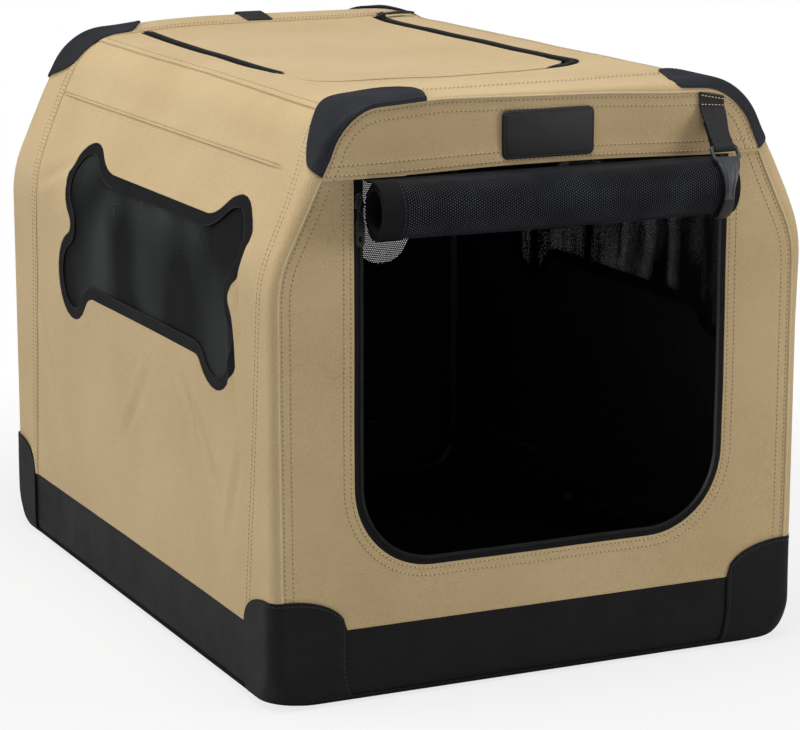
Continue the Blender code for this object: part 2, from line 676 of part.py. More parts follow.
def make_hook(plastic):
    """A plastic hook that hangs on the strap and curls round the front of the roll."""
    stand = HOOK_CLEARANCE + HOOK_THICKNESS / 2
    curl = oval(DOOR_ROLL_AXIS, ROLL_DEPTH / 2 + stand, ROLL_HEIGHT / 2 + stand, HOOK_START, HOOK_END, 2 * ARC_STEPS)
    hook = prism("roll_hook", strip(curl, HOOK_THICKNESS), STRAP_X - HOOK_BODY_WIDTH / 2,
                 STRAP_X + HOOK_BODY_WIDTH / 2, "X", plastic)
    slot = (STRAP_X - STRAP_WIDTH / 2 - HOOK_SLOT_CLEARANCE, STRAP_X + STRAP_WIDTH / 2 + HOOK_SLOT_CLEARANCE)
    loop = (slot[0] - HOOK_SIDE, slot[1] + HOOK_SIDE)
    frame = prism("hook_loop", strip([HOOK_BAR, *curl[:3:2]], HOOK_THICKNESS), *loop, "X")
    along = (Vector(curl[0]) - Vector(HOOK_BAR)).normalized() * HOOK_THICKNESS
    window = strip([tuple(Vector(HOOK_BAR) - along), tuple(Vector(curl[0]) + along / 6)], 4 * HOOK_THICKNESS)
    cut(frame, prism("hook_slot", window, *slot, "X"))
    join(hook, frame)
    bar = turned("hook_bar", [(loop[0], HOOK_BAR_RADIUS), (loop[1], HOOK_BAR_RADIUS)], HOOK_BAR)
    join(hook, bar)
    turn_about(hook, (STRAP_X, *HOOK_BAR))


def make_plate(plastic):
    low = HEIGHT - PLATE_DROP - PLATE_HEIGHT / 2
    outline = rounded(box((-PLATE_WIDTH / 2, low), (PLATE_WIDTH / 2, low + PLATE_HEIGHT)),
                      [PLATE_CORNER] * 4, closed=True)
    prism("blank_plate", outline, FRONT - GAP - PLATE_THICKNESS, FRONT - GAP, "Y", plastic)


def make_tie(dark):
    """Webbing over the rear top edge, between the roof door and the rear wall."""
    lie = GAP + TIE_THICKNESS / 2
    turn = EDGE + lie
    centre = (-FRONT - EDGE, HEIGHT - EDGE)
    path = [(-FRONT - TIE_ROOF_REACH, HEIGHT + lie)] + arc(centre, turn, 90, 0)
    path.append((-FRONT + lie, HEIGHT - TIE_WALL_REACH))
    prism("tie_strap", strip(path, TIE_THICKNESS), TIE_X - TIE_WIDTH / 2, TIE_X + TIE_WIDTH / 2, "X", dark)


def pull_outlines(pivot, along):
    """A slider's lug and the forked pull that turns on it, along a unit direction from the pivot."""
    half, notch, lug = PULL_WIDTH / 2, PULL_LUG_WIDTH / 2 + GAP, PULL_LUG_WIDTH / 2
    depth = PULL_EYE + PULL_CLEARANCE
    pull = [(-PULL_EYE, -half), (-PULL_EYE, -notch), (depth, -notch), (depth, notch), (-PULL_EYE, notch),
            (-PULL_EYE, half), (PULL_LENGTH, half), (PULL_LENGTH, -half)]
    root = -PULL_PIVOT_GAP - PULL_LUG_WIDTH / 2
    lug = [(root, -lug), (root, lug), (PULL_EYE, lug), (PULL_EYE, -lug)]
    return [[(pivot[0] + along[0] * a - along[1] * b, pivot[1] + along[1] * a + along[0] * b) for a, b in outline]
            for outline in (lug, pull)]


def make_sliders(steel, rubber):
    """Zipper sliders and their pulls: one on the roof's right leg, one on the doorway's left leg."""
    x = FLAP_HALF_WIDTH + ROOF_ZIPPER_WIDTH / 2
    rear = FLAP_HINGE - ROOF_SLIDER_INSET + SLIDER_LENGTH / 2
    low = HEIGHT + GAP
    middle = rear - SLIDER_LENGTH / 2
    outline = box((x - SLIDER_WIDTH / 2, rear - SLIDER_LENGTH), (x + SLIDER_WIDTH / 2, rear))
    slider = prism("roof_slider", outline, low, low + SLIDER_HEIGHT, "Z", steel)
    pivot = (x + SLIDER_WIDTH / 2 + PULL_PIVOT_GAP, middle)
    pull_low = low + SLIDER_HEIGHT - PULL_THICKNESS
    lug, tab = pull_outlines(pivot, (1.0, 0.0))
    join(slider, prism("roof_slider_lug", lug, pull_low, pull_low + PULL_THICKNESS, "Z"))
    pull = prism("roof_pull", tab, pull_low, pull_low + PULL_THICKNESS, "Z", rubber)
    turn_about(slider, (x, middle, low))
    turn_about(pull, (*pivot, pull_low + PULL_THICKNESS / 2))

    x = -DOOR_HALF_WIDTH + ZIPPER_WIDTH / 2 + GAP
    top = HEADER_SEAM_HEIGHT - DOOR_SLIDER_DROP + SLIDER_LENGTH / 2
    face = FRONT - 2 * GAP
    half_slider = min(SLIDER_WIDTH, ZIPPER_WIDTH) / 2
    outline = box((x - half_slider, top - SLIDER_LENGTH), (x + half_slider, top))
    slider = prism("door_slider", outline, face - SLIDER_HEIGHT, face, "Y", steel)
    pivot = (x, top - SLIDER_LENGTH - PULL_PIVOT_GAP)
    pull_face = face - SLIDER_HEIGHT
    lug, tab = pull_outlines(pivot, (0.0, -1.0))
    join(slider, prism("door_slider_lug", lug, pull_face, pull_face + PULL_THICKNESS, "Y"))
    pull = prism("door_pull", tab, pull_face, pull_face + PULL_THICKNESS, "Y", rubber)
    turn_about(slider, (x, face, top - SLIDER_LENGTH / 2))
    turn_about(pull, (x, pull_face + PULL_THICKNESS / 2, pivot[1]))


# Steel frame
def strut_place(level):
    """Height, centre line and the side its knuckle pin lies on, for the upper or lower struts."""
    if level == "upper":
        height = HEIGHT - UPPER_STRUT_DROP
        return height, half_width_at(height, EDGE) - UPPER_STRUT_INBOARD, 1
    return LOWER_STRUT_HEIGHT, half_width_at(LOWER_STRUT_HEIGHT, EDGE) - LOWER_STRUT_INBOARD, -1


def ordered(a, b):
    return (min(a, b), max(a, b))


def make_hoop(name, end, steel):
    """A closed loop of tube, with an ear and a headed stud for each of its four struts."""
    half = WIDTH / 2
    corners = [(-half, 0.0)] + shell_corners(0.0)[1:5] + [(half, 0.0)]
    radii = [HOOP_FOOT_RADIUS, BEND_RADIUS, ROOF_RADIUS, ROOF_RADIUS, BEND_RADIUS, HOOP_FOOT_RADIUS]
    chains = []
    for a, b in circle((0.0, 0.0), TUBE_RADIUS, TUBE_SIDES):
        chains.append([(x, end * HOOP_Y + b, z) for x, z in rounded(corners, radii, EDGE + a, closed=True)])
    hoop = loft(name, chains, steel, ring=True)
    for level in ("upper", "lower"):
        height, x, _ = strut_place(level)
        for side in (-1, 1):
            label = f"{name}_{level}_{side}"
            hoop_x = half_width_at(height, EDGE)
            inner = x + STRUT_PLATE / 2 + RUNNING_CLEARANCE
            outline = hull(circle((end * PIVOT_Y, height), EAR_HALF_HEIGHT)
                           + box((end * HOOP_Y - TUBE_RADIUS / 4, height - EAR_HALF_HEIGHT / 2),
                                 (end * HOOP_Y + TUBE_RADIUS / 4, height + EAR_HALF_HEIGHT / 2)))
            join(hoop, prism(label + "_ear", outline, *ordered(side * inner, side * hoop_x), "X"))
            tip = x - STRUT_PLATE / 2 - RUNNING_CLEARANCE
            steps = [(inner + STUD_RADIUS / 2, STUD_RADIUS), (tip, STUD_RADIUS), (tip, HEAD_RADIUS),
                     (tip - HEAD_THICKNESS, HEAD_RADIUS)]
            join(hoop, turned(label + "_stud", [(side * d, r) for d, r in steps], (end * PIVOT_Y, height)))


def eye_plate(pivot, centre_height, tube_y, eye_radius):
    """The flattened end of a tube: an eye round the pivot, running into the tube."""
    sign = 1 if tube_y > pivot[0] else -1
    into = tube_y + sign * STRUT_RADIUS
    corners = [(tube_y, centre_height - STRUT_RADIUS * 0.85), (tube_y, centre_height + STRUT_RADIUS * 0.85),
               (into, centre_height - STRUT_RADIUS * 0.5), (into, centre_height + STRUT_RADIUS * 0.5)]
    return hull(circle(pivot, eye_radius) + corners)


def pin_hole(target, name, x, centre):
    reach = STRUT_PLATE + KNUCKLE_HALF_WIDTH
    radius = STUD_RADIUS + RUNNING_CLEARANCE
    cut(target, turned(name, [(x - reach, radius), (x + reach, radius)], centre))


def make_strut(level, side, steel, plastic, button_plastic):
    height, distance, up = strut_place(level)
    x = side * distance
    label = f"{level}_{'left' if side < 0 else 'right'}"
    plate = (x - STRUT_PLATE / 2, x + STRUT_PLATE / 2)
    pin = (0.0, height + up * KNUCKLE_PIN_OFFSET)

    rear_pivot = (PIVOT_Y, height)
    tube_end = KNUCKLE_SLOT + 2 * RUNNING_CLEARANCE
    round_end = PIVOT_Y - TUBE_START
    tube = circle((x, height), STRUT_RADIUS)
    rear = prism(f"rear_strut_{label}", tube, tube_end, round_end, "Y", steel)
    join(rear, prism(f"rear_eye_{label}", eye_plate(rear_pivot, height, round_end, PLATE_LUG), *plate, "X"))
    pin_hole(rear, f"rear_eye_hole_{label}", x, rear_pivot)
    turn_about(rear, (x, *rear_pivot))

    front_pivot = (-PIVOT_Y, height)
    front = prism(f"front_strut_{label}", tube, -round_end, -TONGUE_LENGTH, "Y", steel)
    join(front, prism(f"front_eye_{label}", eye_plate(front_pivot, height, -round_end, PLATE_LUG), *plate, "X"))
    join(front, prism(f"tongue_{label}", eye_plate(pin, height, -TONGUE_LENGTH, PLATE_LUG), *plate, "X"))
    pin_hole(front, f"front_eye_hole_{label}", x, front_pivot)
    pin_hole(front, f"tongue_hole_{label}", x, pin)
    turn_about(front, (x, *pin))

    body = circle(pin, KNUCKLE_LUG) + box((-KNUCKLE_LUG, height - KNUCKLE_HALF_HEIGHT),
                                          (KNUCKLE_REAR, height + KNUCKLE_HALF_HEIGHT))
    width = (x - KNUCKLE_HALF_WIDTH, x + KNUCKLE_HALF_WIDTH)
    knuckle = prism(f"knuckle_{label}", hull(body), *width, "X", plastic)
    far = 4 * KNUCKLE_LUG
    slot = [(-far, -far), (KNUCKLE_WEB_START, -far), (KNUCKLE_WEB_START, KNUCKLE_WEB_TOP),
            (KNUCKLE_SLOT, KNUCKLE_WEB_TOP), (KNUCKLE_SLOT, far), (-far, far)]
    slot = [(v, height + up * w) for v, w in slot]
    opening = (x - STRUT_PLATE / 2 - RUNNING_CLEARANCE, x + STRUT_PLATE / 2 + RUNNING_CLEARANCE)
    cut(knuckle, prism(f"knuckle_slot_{label}", slot, *opening, "X"))
    bore = circle((x, height), STRUT_RADIUS + RUNNING_CLEARANCE)
    cut(knuckle, prism(f"knuckle_bore_{label}", bore, KNUCKLE_SLOT + RUNNING_CLEARANCE, 2 * KNUCKLE_REAR, "Y"))
    pin_hole(knuckle, f"knuckle_hole_{label}", x, pin)

    inboard = -side
    face = x + inboard * KNUCKLE_HALF_WIDTH
    button_at = (BUTTON_FROM_PIN, height)
    pocket = [(face - inboard * BUTTON_POCKET, BUTTON_RADIUS + RUNNING_CLEARANCE),
              (face + inboard * BUTTON_POCKET, BUTTON_RADIUS + RUNNING_CLEARANCE)]
    cut(knuckle, turned(f"button_pocket_{label}", pocket, button_at))
    inner = face - inboard * (BUTTON_POCKET - BUTTON_TRAVEL - GAP)
    outer = face + inboard * BUTTON_PROUD
    button = turned(f"lock_button_{label}", [(inner, BUTTON_RADIUS), (outer, BUTTON_RADIUS)], button_at,
                    button_plastic)
    turn_about(button, (outer, *button_at))

    shank = KNUCKLE_HALF_WIDTH + RUNNING_CLEARANCE
    steps = [(-shank - HEAD_THICKNESS, HEAD_RADIUS), (-shank, HEAD_RADIUS), (-shank, STUD_RADIUS),
             (shank, STUD_RADIUS), (shank, HEAD_RADIUS), (shank + HEAD_THICKNESS, HEAD_RADIUS)]
    hinge_pin = turned(f"knuckle_pin_{label}", [(x + d, r) for d, r in steps], pin, steel)
    carry(f"fold_{label}", (x, *rear_pivot), [rear, knuckle, hinge_pin, button])


def main():
    for item in list(bpy.data.objects):
        bpy.data.objects.remove(item)
    tan = finish("tan_cloth", (0.52, 0.38, 0.22), 0.85)
    dark = finish("dark_cloth", (0.020, 0.020, 0.021), 0.75)
    netting = finish("dark_netting", (0.012, 0.012, 0.013), 0.8)
    steel = finish("coated_steel", (0.10, 0.10, 0.10), 0.35, 0.9)
    plastic = finish("dark_plastic", (0.035, 0.036, 0.038), 0.45)
    button_plastic = finish("button_plastic", (0.09, 0.09, 0.095), 0.4)

    for side, word in ((-1, "left"), (1, "right")):
        make_side(word, side, tan, netting)
        for level in ("upper", "lower"):
            make_strut(level, side, steel, plastic, button_plastic)
        for end, end_word in ((-1, "front"), (1, "rear")):
            make_guard(f"{end_word}_{word}_guard", side, end, dark)
            make_patch(f"{end_word}_{word}_patch", side, end, dark)
    for end, word in ((-1, "front"), (1, "rear")):
        make_hoop(f"{word}_hoop", end, steel)
        make_sleeve(f"{word}_sleeve", end, tan)
        make_base(f"{word}_base", end, dark)
    make_floor(dark)
    make_roof(tan, dark)
    make_front(tan, dark)
    make_rear(tan, netting)
    make_roll(netting)
    make_strap(dark)
    make_hook(plastic)
    make_plate(plastic)
    make_tie(dark)
    make_sliders(steel, plastic)
    height, x, _ = strut_place("upper")
    carry("front_end", (-x, -PIVOT_Y, height), [bpy.data.objects[name] for name in FRONT_END])


main()
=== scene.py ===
# Soft pet crate: sewn cloth shell, netting, zippers and fittings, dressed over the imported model
import bisect
from functools import cache
from itertools import product
from math import atan2, cos, degrees, dist, exp, hypot, pi, radians, sin, sqrt, tan
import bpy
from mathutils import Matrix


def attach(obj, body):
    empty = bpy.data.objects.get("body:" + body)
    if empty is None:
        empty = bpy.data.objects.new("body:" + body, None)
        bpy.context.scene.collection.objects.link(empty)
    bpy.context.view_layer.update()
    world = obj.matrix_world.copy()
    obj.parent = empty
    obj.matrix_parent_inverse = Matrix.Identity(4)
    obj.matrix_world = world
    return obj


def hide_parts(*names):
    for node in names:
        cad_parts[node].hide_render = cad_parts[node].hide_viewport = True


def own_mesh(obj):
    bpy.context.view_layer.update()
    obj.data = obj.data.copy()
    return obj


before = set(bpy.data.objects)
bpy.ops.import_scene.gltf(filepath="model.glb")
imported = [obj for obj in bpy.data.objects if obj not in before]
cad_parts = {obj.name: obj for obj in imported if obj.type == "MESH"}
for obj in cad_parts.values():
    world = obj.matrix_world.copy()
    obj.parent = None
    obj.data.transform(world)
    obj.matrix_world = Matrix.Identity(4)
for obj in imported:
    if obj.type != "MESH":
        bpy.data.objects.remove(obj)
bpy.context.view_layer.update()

from types import SimpleNamespace as Sizes
import bmesh
import bpy
from mathutils import Matrix, Vector, noise

print("scene: model loaded")


def added(name, data):  # a new object in the scene
    obj = bpy.data.objects.new(name, data)
    bpy.context.scene.collection.objects.link(obj)
    return obj


# Camera, as the crate is seen from a little above its left front corner
view = Sizes(place=(-1.179, -2.555, 0.829), turn=25.21, tilt=-12.35, lens=132.9)

camera = added("camera", bpy.data.cameras.new("camera"))
camera.data.lens, camera.data.sensor_width = view.lens, 36
camera.location = view.place
camera.rotation_euler = (radians(90 + view.tilt), 0, radians(-view.turn))
bpy.context.scene.camera = camera
bpy.context.scene.view_settings.view_transform = "Standard"


# Shader maths written as plain expressions
class Wire:  # one output of a node
    def __init__(self, paint, socket):
        self.paint, self.socket = paint, socket

    def maths(self, operation, *values):
        return self.paint.node("ShaderNodeMath", {"operation": operation}, values)

    def __add__(self, other): return self.maths("ADD", self, other)
    def __sub__(self, other): return self.maths("SUBTRACT", self, other)
    def __rsub__(self, other): return self.maths("SUBTRACT", other, self)
    def __mul__(self, other): return self.maths("MULTIPLY", self, other)
    def __pow__(self, other): return self.maths("POWER", self, other)
    def __gt__(self, other): return self.maths("GREATER_THAN", self, other)
    def __lt__(self, other): return self.maths("LESS_THAN", self, other)
    def __mod__(self, other): return self.maths("FLOORED_MODULO", self, other)
    def __abs__(self): return self.maths("ABSOLUTE", self)
    def sine(self): return self.maths("SINE", self)
    __radd__ = __add__


class Paint:  # one material, built round its own shader
    def __init__(self, name, colour, roughness, **fixed):
        self.material = bpy.data.materials.new(name)
        self.material.use_nodes = True
        self.tree = self.material.node_tree
        self.shader = self.tree.nodes["Principled BSDF"]
        self.set("Base Color", (*colour, 1.0))
        self.set("Roughness", roughness)
        for socket, value in fixed.items():
            self.set(socket.replace("_", " "), value)
        self.material.diffuse_color = (*colour, 1.0)

    def feed(self, socket, value):
        if isinstance(value, Wire):
            self.tree.links.new(value.socket, socket)
        else:
            socket.default_value = value

    def set(self, socket, value):
        self.feed(self.shader.inputs[socket], value)

    def node(self, kind, settings=None, values=(), output=0):
        made = self.tree.nodes.new(kind)
        for key, value in (settings or {}).items():
            setattr(made, key, value)
        for key, value in values.items() if isinstance(values, dict) else enumerate(values):
            self.feed(made.inputs[key], value)
        return Wire(self, made.outputs[output])

    def place(self):  # metres in the crate's own frame
        return self.node("ShaderNodeTexCoord", output="Object")

    def cut(self):  # metres on the flat cloth, along and across
        flat = self.node("ShaderNodeUVMap", {"uv_map": "cut"})
        split = self.node("ShaderNodeSeparateXYZ", values=[flat])
        return split, Wire(self, split.socket.node.outputs[1])

    def stretched(self, x, y, z):
        return self.node("ShaderNodeMapping", values={"Vector": self.place(), "Scale": (x, y, z)})

    def speckle(self, scale, detail=2.0, rough=0.5, where=None):
        return self.node("ShaderNodeTexNoise", values={"Vector": where or self.place(), "Scale": scale,
                                                       "Detail": detail, "Roughness": rough})

    def ramp(self, value, *stops):  # a grey that changes between two stops
        made = self.node("ShaderNodeValToRGB", values=[value])
        for element, (place, shade) in zip(made.socket.node.color_ramp.elements, stops):
            element.position, element.color = place, (shade, shade, shade, 1.0)
        return made

    def mottled(self, low, high, *speckle, **where):
        return self.ramp(self.speckle(*speckle, **where), (low, 0.0), (high, 1.0))

    def blendOf(self, share, first, second):
        mixed = self.node("ShaderNodeMix", {"data_type": "RGBA"}, output=2)
        for index, value in ((0, share), (6, first), (7, second)):
            if isinstance(value, tuple):
                value = (*value, 1.0)
            self.feed(mixed.socket.node.inputs[index], value)
        return mixed

    def raised(self, height, depth):
        bump = {"Strength": 1.0, "Distance": depth, "Height": height}
        self.set("Normal", self.node("ShaderNodeBump", values=bump))

    def coloured(self, share, first, second):  # from one screen colour to another
        self.set("Base Color", self.blendOf(share, tone(*first), tone(*second)))


def tone(red, green, blue):  # from screen values of 0 to 255
    return tuple(c / 255 / 12.92 if c <= 10 else ((c / 255 + 0.055) / 1.055) ** 2.4
                 for c in (red, green, blue))


def over(value, low, high):  # 0 at low, 1 at high, eased
    share = min(1.0, max(0.0, (value - low) / (high - low)))
    return share * share * (3 - 2 * share)


# Cloths and other finishes, in screen colours, with the sizes of the yarn and of the netting's gaps
cloths = Sizes(tan=(188, 162, 119), tanWorn=(203, 179, 137), tanShade=(139, 117, 82), thread=(218, 199, 162),
               base=(23, 23, 24), patch=(31, 32, 36), netting=(15, 15, 17), yarn=0.0011, netGap=0.0024)


def weave(paint, yarn):  # height of a plain weave, from 0 to 1
    along, across = paint.cut()
    return (along * (pi / yarn)).sine() * (across * (pi / yarn)).sine() * 0.5 + 0.5


def makeTan(name, plain, wearAndSheen):
    paint = Paint(name, tone(*plain), 0.82, Specular_IOR_Level=0.4, Sheen_Weight=0.1, Sheen_Roughness=0.4)
    woven = weave(paint, cloths.yarn)
    slub = paint.speckle(950.0, 1.0)
    faded = paint.ramp(paint.speckle(9.0, 3.0) * 0.55 + slub * 0.45, (0.32, 0.0), (0.68, 1.0))
    colour = paint.blendOf(faded, tone(*plain), tone(*wearAndSheen))
    shade = woven * 0.2 + paint.ramp(slub, (0.3, 1.0), (0.5, 0.0)) * 0.2
    paint.set("Base Color", paint.blendOf(shade, colour, tone(*cloths.tanShade)))
    paint.set("Roughness", 0.76 + slub * 0.14)
    paint.raised(woven * 0.25 + paint.speckle(55.0, 3.0, 0.6) * 1.1 + slub * 0.25, 0.0006)
    return paint.material


def makeDark(name, colour, lighter, yarn, roughness, gloss):
    paint = Paint(name, tone(*colour), roughness, Specular_IOR_Level=gloss)
    woven = weave(paint, yarn)
    scuffed = paint.mottled(0.35, 0.75, 26.0, 4.0, 0.6)
    paint.coloured(scuffed * 0.6 + woven * 0.2, colour, lighter)
    paint.set("Roughness", roughness - scuffed * 0.07)
    paint.raised(woven * 0.3 + paint.speckle(48.0, 3.0, 0.55), 0.0007)
    return paint.material


def fromGap(paint):  # how far from the middle of the nearest gap in the netting, in gaps
    along, across = paint.cut()
    row = (across * (1 / cloths.netGap)) * 1.1547
    shifted = along * (1 / cloths.netGap) + (row % 2 > 1) * 0.5
    sideways, upwards = (shifted % 1) - 0.5, ((row % 1) - 0.5) * 0.866
    return (sideways * sideways + upwards * upwards) ** 0.5


def makeNetting(name, gapRadius, folds):
    paint = Paint(name, tone(*cloths.netting), 0.6, Specular_IOR_Level=0.06)
    away = fromGap(paint)
    streaks = paint.speckle(1.0, 2.0, where=paint.stretched(14.0, 34.0, 6.0))
    gathered = paint.ramp(streaks, (0.38, 1 - folds), (0.62, 1.0))
    # Painted sheen: the black netting's threads are painted lighter grey, more so where this noise is high
    shine = paint.mottled(0.42, 0.66, 1.0, 1.0, where=paint.stretched(9.0, 9.0, 6.0))
    lit = paint.ramp(away, (0.30, 0.0), (0.52, 1.0)) * (shine * 0.85 + 0.08)
    paint.coloured(lit, (11, 12, 13), (84, 88, 89))
    paint.set("Alpha", 1 - (away < (gathered * gapRadius)))
    paint.raised(away, 0.0006)
    return paint.material


def makeRollNetting():  # several turns lie on each other, so the gaps show the black turns beneath, painted near black for their shade; the threads are painted lighter grey as a sheen
    paint = Paint("rolledNetting", tone(*cloths.netting), 0.5, Specular_IOR_Level=0.08)
    thread = paint.ramp(fromGap(paint), (0.16, 1.0), (0.30, 0.0))
    wearAndSheen = paint.mottled(0.35, 0.7, 30.0, 3.0)
    paint.coloured(thread * (wearAndSheen * 0.5 + 0.5), (5, 5, 7), (92, 95, 106))
    paint.raised(thread, 0.0006)
    return paint.material


def makeWebbing():
    paint = Paint("webbing", tone(30, 30, 32), 0.62, Specular_IOR_Level=0.25)
    along, across = paint.cut()
    rib = abs((across * (pi / 0.0021)).sine())
    cross = abs((along * (pi / 0.0016) + rib * 0.9).sine())
    weft = rib * 0.55 + cross * 0.45
    paint.coloured(weft, (14, 14, 15), (46, 46, 50))
    paint.raised(weft + paint.speckle(700.0) * 0.25, 0.0007)
    return paint.material


def makeMoulded(name, colour, lighter, roughness):
    paint = Paint(name, tone(*colour), roughness, Specular_IOR_Level=0.35)
    rubbed = paint.mottled(0.35, 0.8, 60.0, 3.0)
    paint.coloured(rubbed, colour, lighter)
    paint.set("Roughness", roughness + rubbed * 0.08)
    paint.raised(paint.speckle(900.0, 2.0), 0.00012)
    return paint.material


def makeSteel(name, colour, roughness, metallic):
    paint = Paint(name, tone(*colour), roughness, Metallic=metallic, Specular_IOR_Level=0.5)
    dulled = paint.mottled(0.3, 0.75, 35.0, 3.0)
    paint.set("Roughness", roughness + dulled * 0.12)
    paint.coloured(dulled * 0.5, colour, [c * 1.5 for c in colour])
    paint.raised(paint.speckle(1400.0, 2.0, 0.6), 0.00015)
    return paint.material


def makeThread(name, colour):
    paint = Paint(name, tone(*colour), 0.6, Specular_IOR_Level=0.3)
    ply = abs((paint.speckle(900.0) * 6.0).sine())
    paint.coloured(ply * 0.35, colour, [c * 0.7 for c in colour])
    paint.raised(ply, 0.0001)
    return paint.material


tanCloth = makeTan("tanCloth", cloths.tan, cloths.tanWorn)
# The piping takes the lighter worn tan and the thread colour: a painted highlight along its rim
highlitPipingCloth = makeTan("highlitPipingCloth", cloths.tanWorn, cloths.thread)
lining = makeDark("darkLining", (50, 49, 53), (60, 59, 63), 0.0011, 0.8, 0.1)
baseCloth = makeDark("baseCloth", cloths.base, (32, 32, 34), 0.0011, 0.55, 0.10)
patchCloth = makeDark("patchCloth", cloths.patch, (42, 44, 50), 0.0010, 0.58, 0.13)
bindingTape = makeDark("bindingTape", (17, 17, 19), (25, 25, 28), 0.0012, 0.6, 0.08)
netting = makeNetting("netting", 0.21, 0.0)
sideNetting = makeNetting("sideNetting", 0.130, 0.5)
rolledNetting = makeRollNetting()
webbing = makeWebbing()
tanThread = makeThread("tanThread", cloths.thread)
darkThread = makeThread("darkThread", (54, 54, 58))
# Needle holes: dark tan beads between the stitches, painted shade where the thread sinks into the cloth; the
# wall and hem ones are paler
needleHoleShade = makeThread("needleHoleShade", (104, 86, 61))
softHoleShade = makeThread("softHoleShade", (134, 113, 82))
zipperTeeth = makeMoulded("zipperTeeth", (20, 20, 22), (34, 34, 37), 0.32)
hookPlastic = makeMoulded("hookPlastic", (58, 59, 62), (80, 81, 85), 0.38)
darkPlastic = makeMoulded("darkPlastic", (26, 26, 28), (36, 36, 39), 0.42)
plateRubber = makeMoulded("plateRubber", (30, 30, 32), (42, 42, 45), 0.6)
coatedSteel = makeSteel("coatedSteel", (34, 34, 36), 0.38, 0.0)
sliderMetal = makeSteel("sliderMetal", (40, 40, 43), 0.3, 0.6)
buttonPlastic = makeMoulded("buttonPlastic", (84, 84, 88), (102, 102, 107), 0.4)
slots = {"tan_cloth": [tanCloth, highlitPipingCloth, tanThread, needleHoleShade, softHoleShade],
         "dark_cloth": [baseCloth, patchCloth, bindingTape, webbing, darkThread],
         "dark_netting": [netting, sideNetting, rolledNetting],
         "dark_plastic": [zipperTeeth, hookPlastic, darkPlastic, plateRubber], "coated_steel": [sliderMetal]}
slotOf = {paint.name: slot for slot, paints in slots.items() for paint in paints}
print("scene: materials made")


# The shell's outline: flat roof, leaning shoulders, upright walls and rounded bottom edges
shell = Sizes(length=0.690, width=0.515, height=0.520, leanHeight=0.143, leanWidth=0.064,
              bendRadius=0.120, roofRadius=0.060, edge=0.0107, seam=0.285, band=0.0663, reach=0.0658,
              floorRadius=0.012, cornerRadius=0.045, cornerHeight=0.040, sleeveBack=0.060, hoop=0.331,
              rearEdge=0.0095, roofSag=0.0062, wallSag=0.0032, rearCrown=0.0048, bump=0.0036)

# How the sewn shell differs from that outline, read off along it, in millimetres
rows = {"bulge": [(130, 0), (170, 1.5), (200, 2), (240, 3.5), (270, 6.5), (300, 7.5), (330, 6), (370, 2.5),
                  (420, 0)],
        "edge": [(-650, 9.5), (-600, 8), (-450, 7), (-330, 7), (-270, 9.5), (-230, 9.5), (-170, 3),
                 (-100, 1.5), (-30, 3), (60, 5), (120, 8), (200, 9.5), (270, 9.5), (340, 7.5), (600, 8),
                 (650, 9.5)],
        "frontHem": [(186, 60), (220, 45), (250, 33), (280, 28), (320, 27), (360, 30), (540, 48),
                     (640, 60)],
        "rearHem": [(190, 60), (216, 59.5), (296, 68), (350, 80), (380, 80), (570, 71), (640, 66)],
        "fell": [(-285, 186.5), (0, 175), (285, 178)]}
rows = {name: [(place / 1000, value / 1000) for place, value in pairs] for name, pairs in rows.items()}


def readOff(value, pairs):  # straight lines between the rows, level beyond them
    if value <= pairs[0][0]:
        return pairs[0][1]
    for (low, first), (high, second) in zip(pairs, pairs[1:]):
        if value <= high:
            return first + (second - first) * (value - low) / (high - low)
    return pairs[-1][1]


leanAngle = atan2(shell.leanHeight, shell.leanWidth)
roofTangent = shell.roofRadius * tan(leanAngle / 2)
bendTangent = shell.bendRadius * tan((pi / 2 - leanAngle) / 2)
slantRun = hypot(shell.leanWidth, shell.leanHeight) - roofTangent - bendTangent
roofHalf = shell.width / 2 - shell.leanWidth - roofTangent
runs = [roofHalf, shell.roofRadius * leanAngle, slantRun, shell.bendRadius * (pi / 2 - leanAngle),
        shell.height - shell.leanHeight - bendTangent - shell.floorRadius,
        shell.floorRadius * pi / 2, shell.width / 2 - shell.floorRadius]
bends = [0, 1 / shell.roofRadius, 0, 1 / shell.bendRadius, 0, 1 / shell.floorRadius, 0]


@cache
def section(s):  # where the outline is, and which way is out, s metres round from the roof's middle
    side, left = (-1 if s < 0 else 1), abs(s)
    x, z, heading = 0.0, shell.height, 0.0
    for run, bend in zip(runs, bends):
        step = min(left, run)
        if bend:
            turned = heading + step * bend
            x += (sin(turned) - sin(heading)) / bend
            z += (cos(turned) - cos(heading)) / bend
            heading = turned
        else:
            x += step * cos(heading)
            z -= step * sin(heading)
        left -= step
        if left <= 0:
            break
    outX, outZ, bulge = side * sin(heading), cos(heading), readOff(s, rows["bulge"])
    return side * x + outX * bulge, z + outZ * bulge, outX, outZ


@cache
def edgeAt(s, end):  # radius of the end's edge
    return (readOff(s, rows["edge"]) if end < 0 else shell.rearEdge) + readOff(s, rows["bulge"])


def runAt(height):  # how far round the outline a height on the shoulder or wall lies
    low, high = runs[0], sum(runs[:5])
    for _ in range(40):
        middle = (low + high) / 2
        low, high = (middle, high) if section(middle)[1] > height else (low, middle)
    return low


sideRun, bandRun = 0.2518, runAt(shell.band)  # round to the roof's hem and to the base's top
endFace = shell.length / 2
seamV = (-shell.seam, shell.seam)
bothEnds = ((-1, "front", "front_end"), (1, "rear", "crate"))
bothSides = ((-1, "left"), (1, "right"))


def crown(s, y):  # the rear hoop stands a little higher towards its right
    return shell.rearCrown * over(y, 0.24, 0.335) * over(s, -0.17, -0.03) * (1 - over(s, 0.15, 0.22))


def dent(s, y):  # the left shoulder is a little flatter than the right one
    deep = 0.0026 + 0.0012 * over(y, -0.3, endFace)
    return deep * over(s, -0.265, -0.185) * (1 - over(s, -0.165, -0.09))


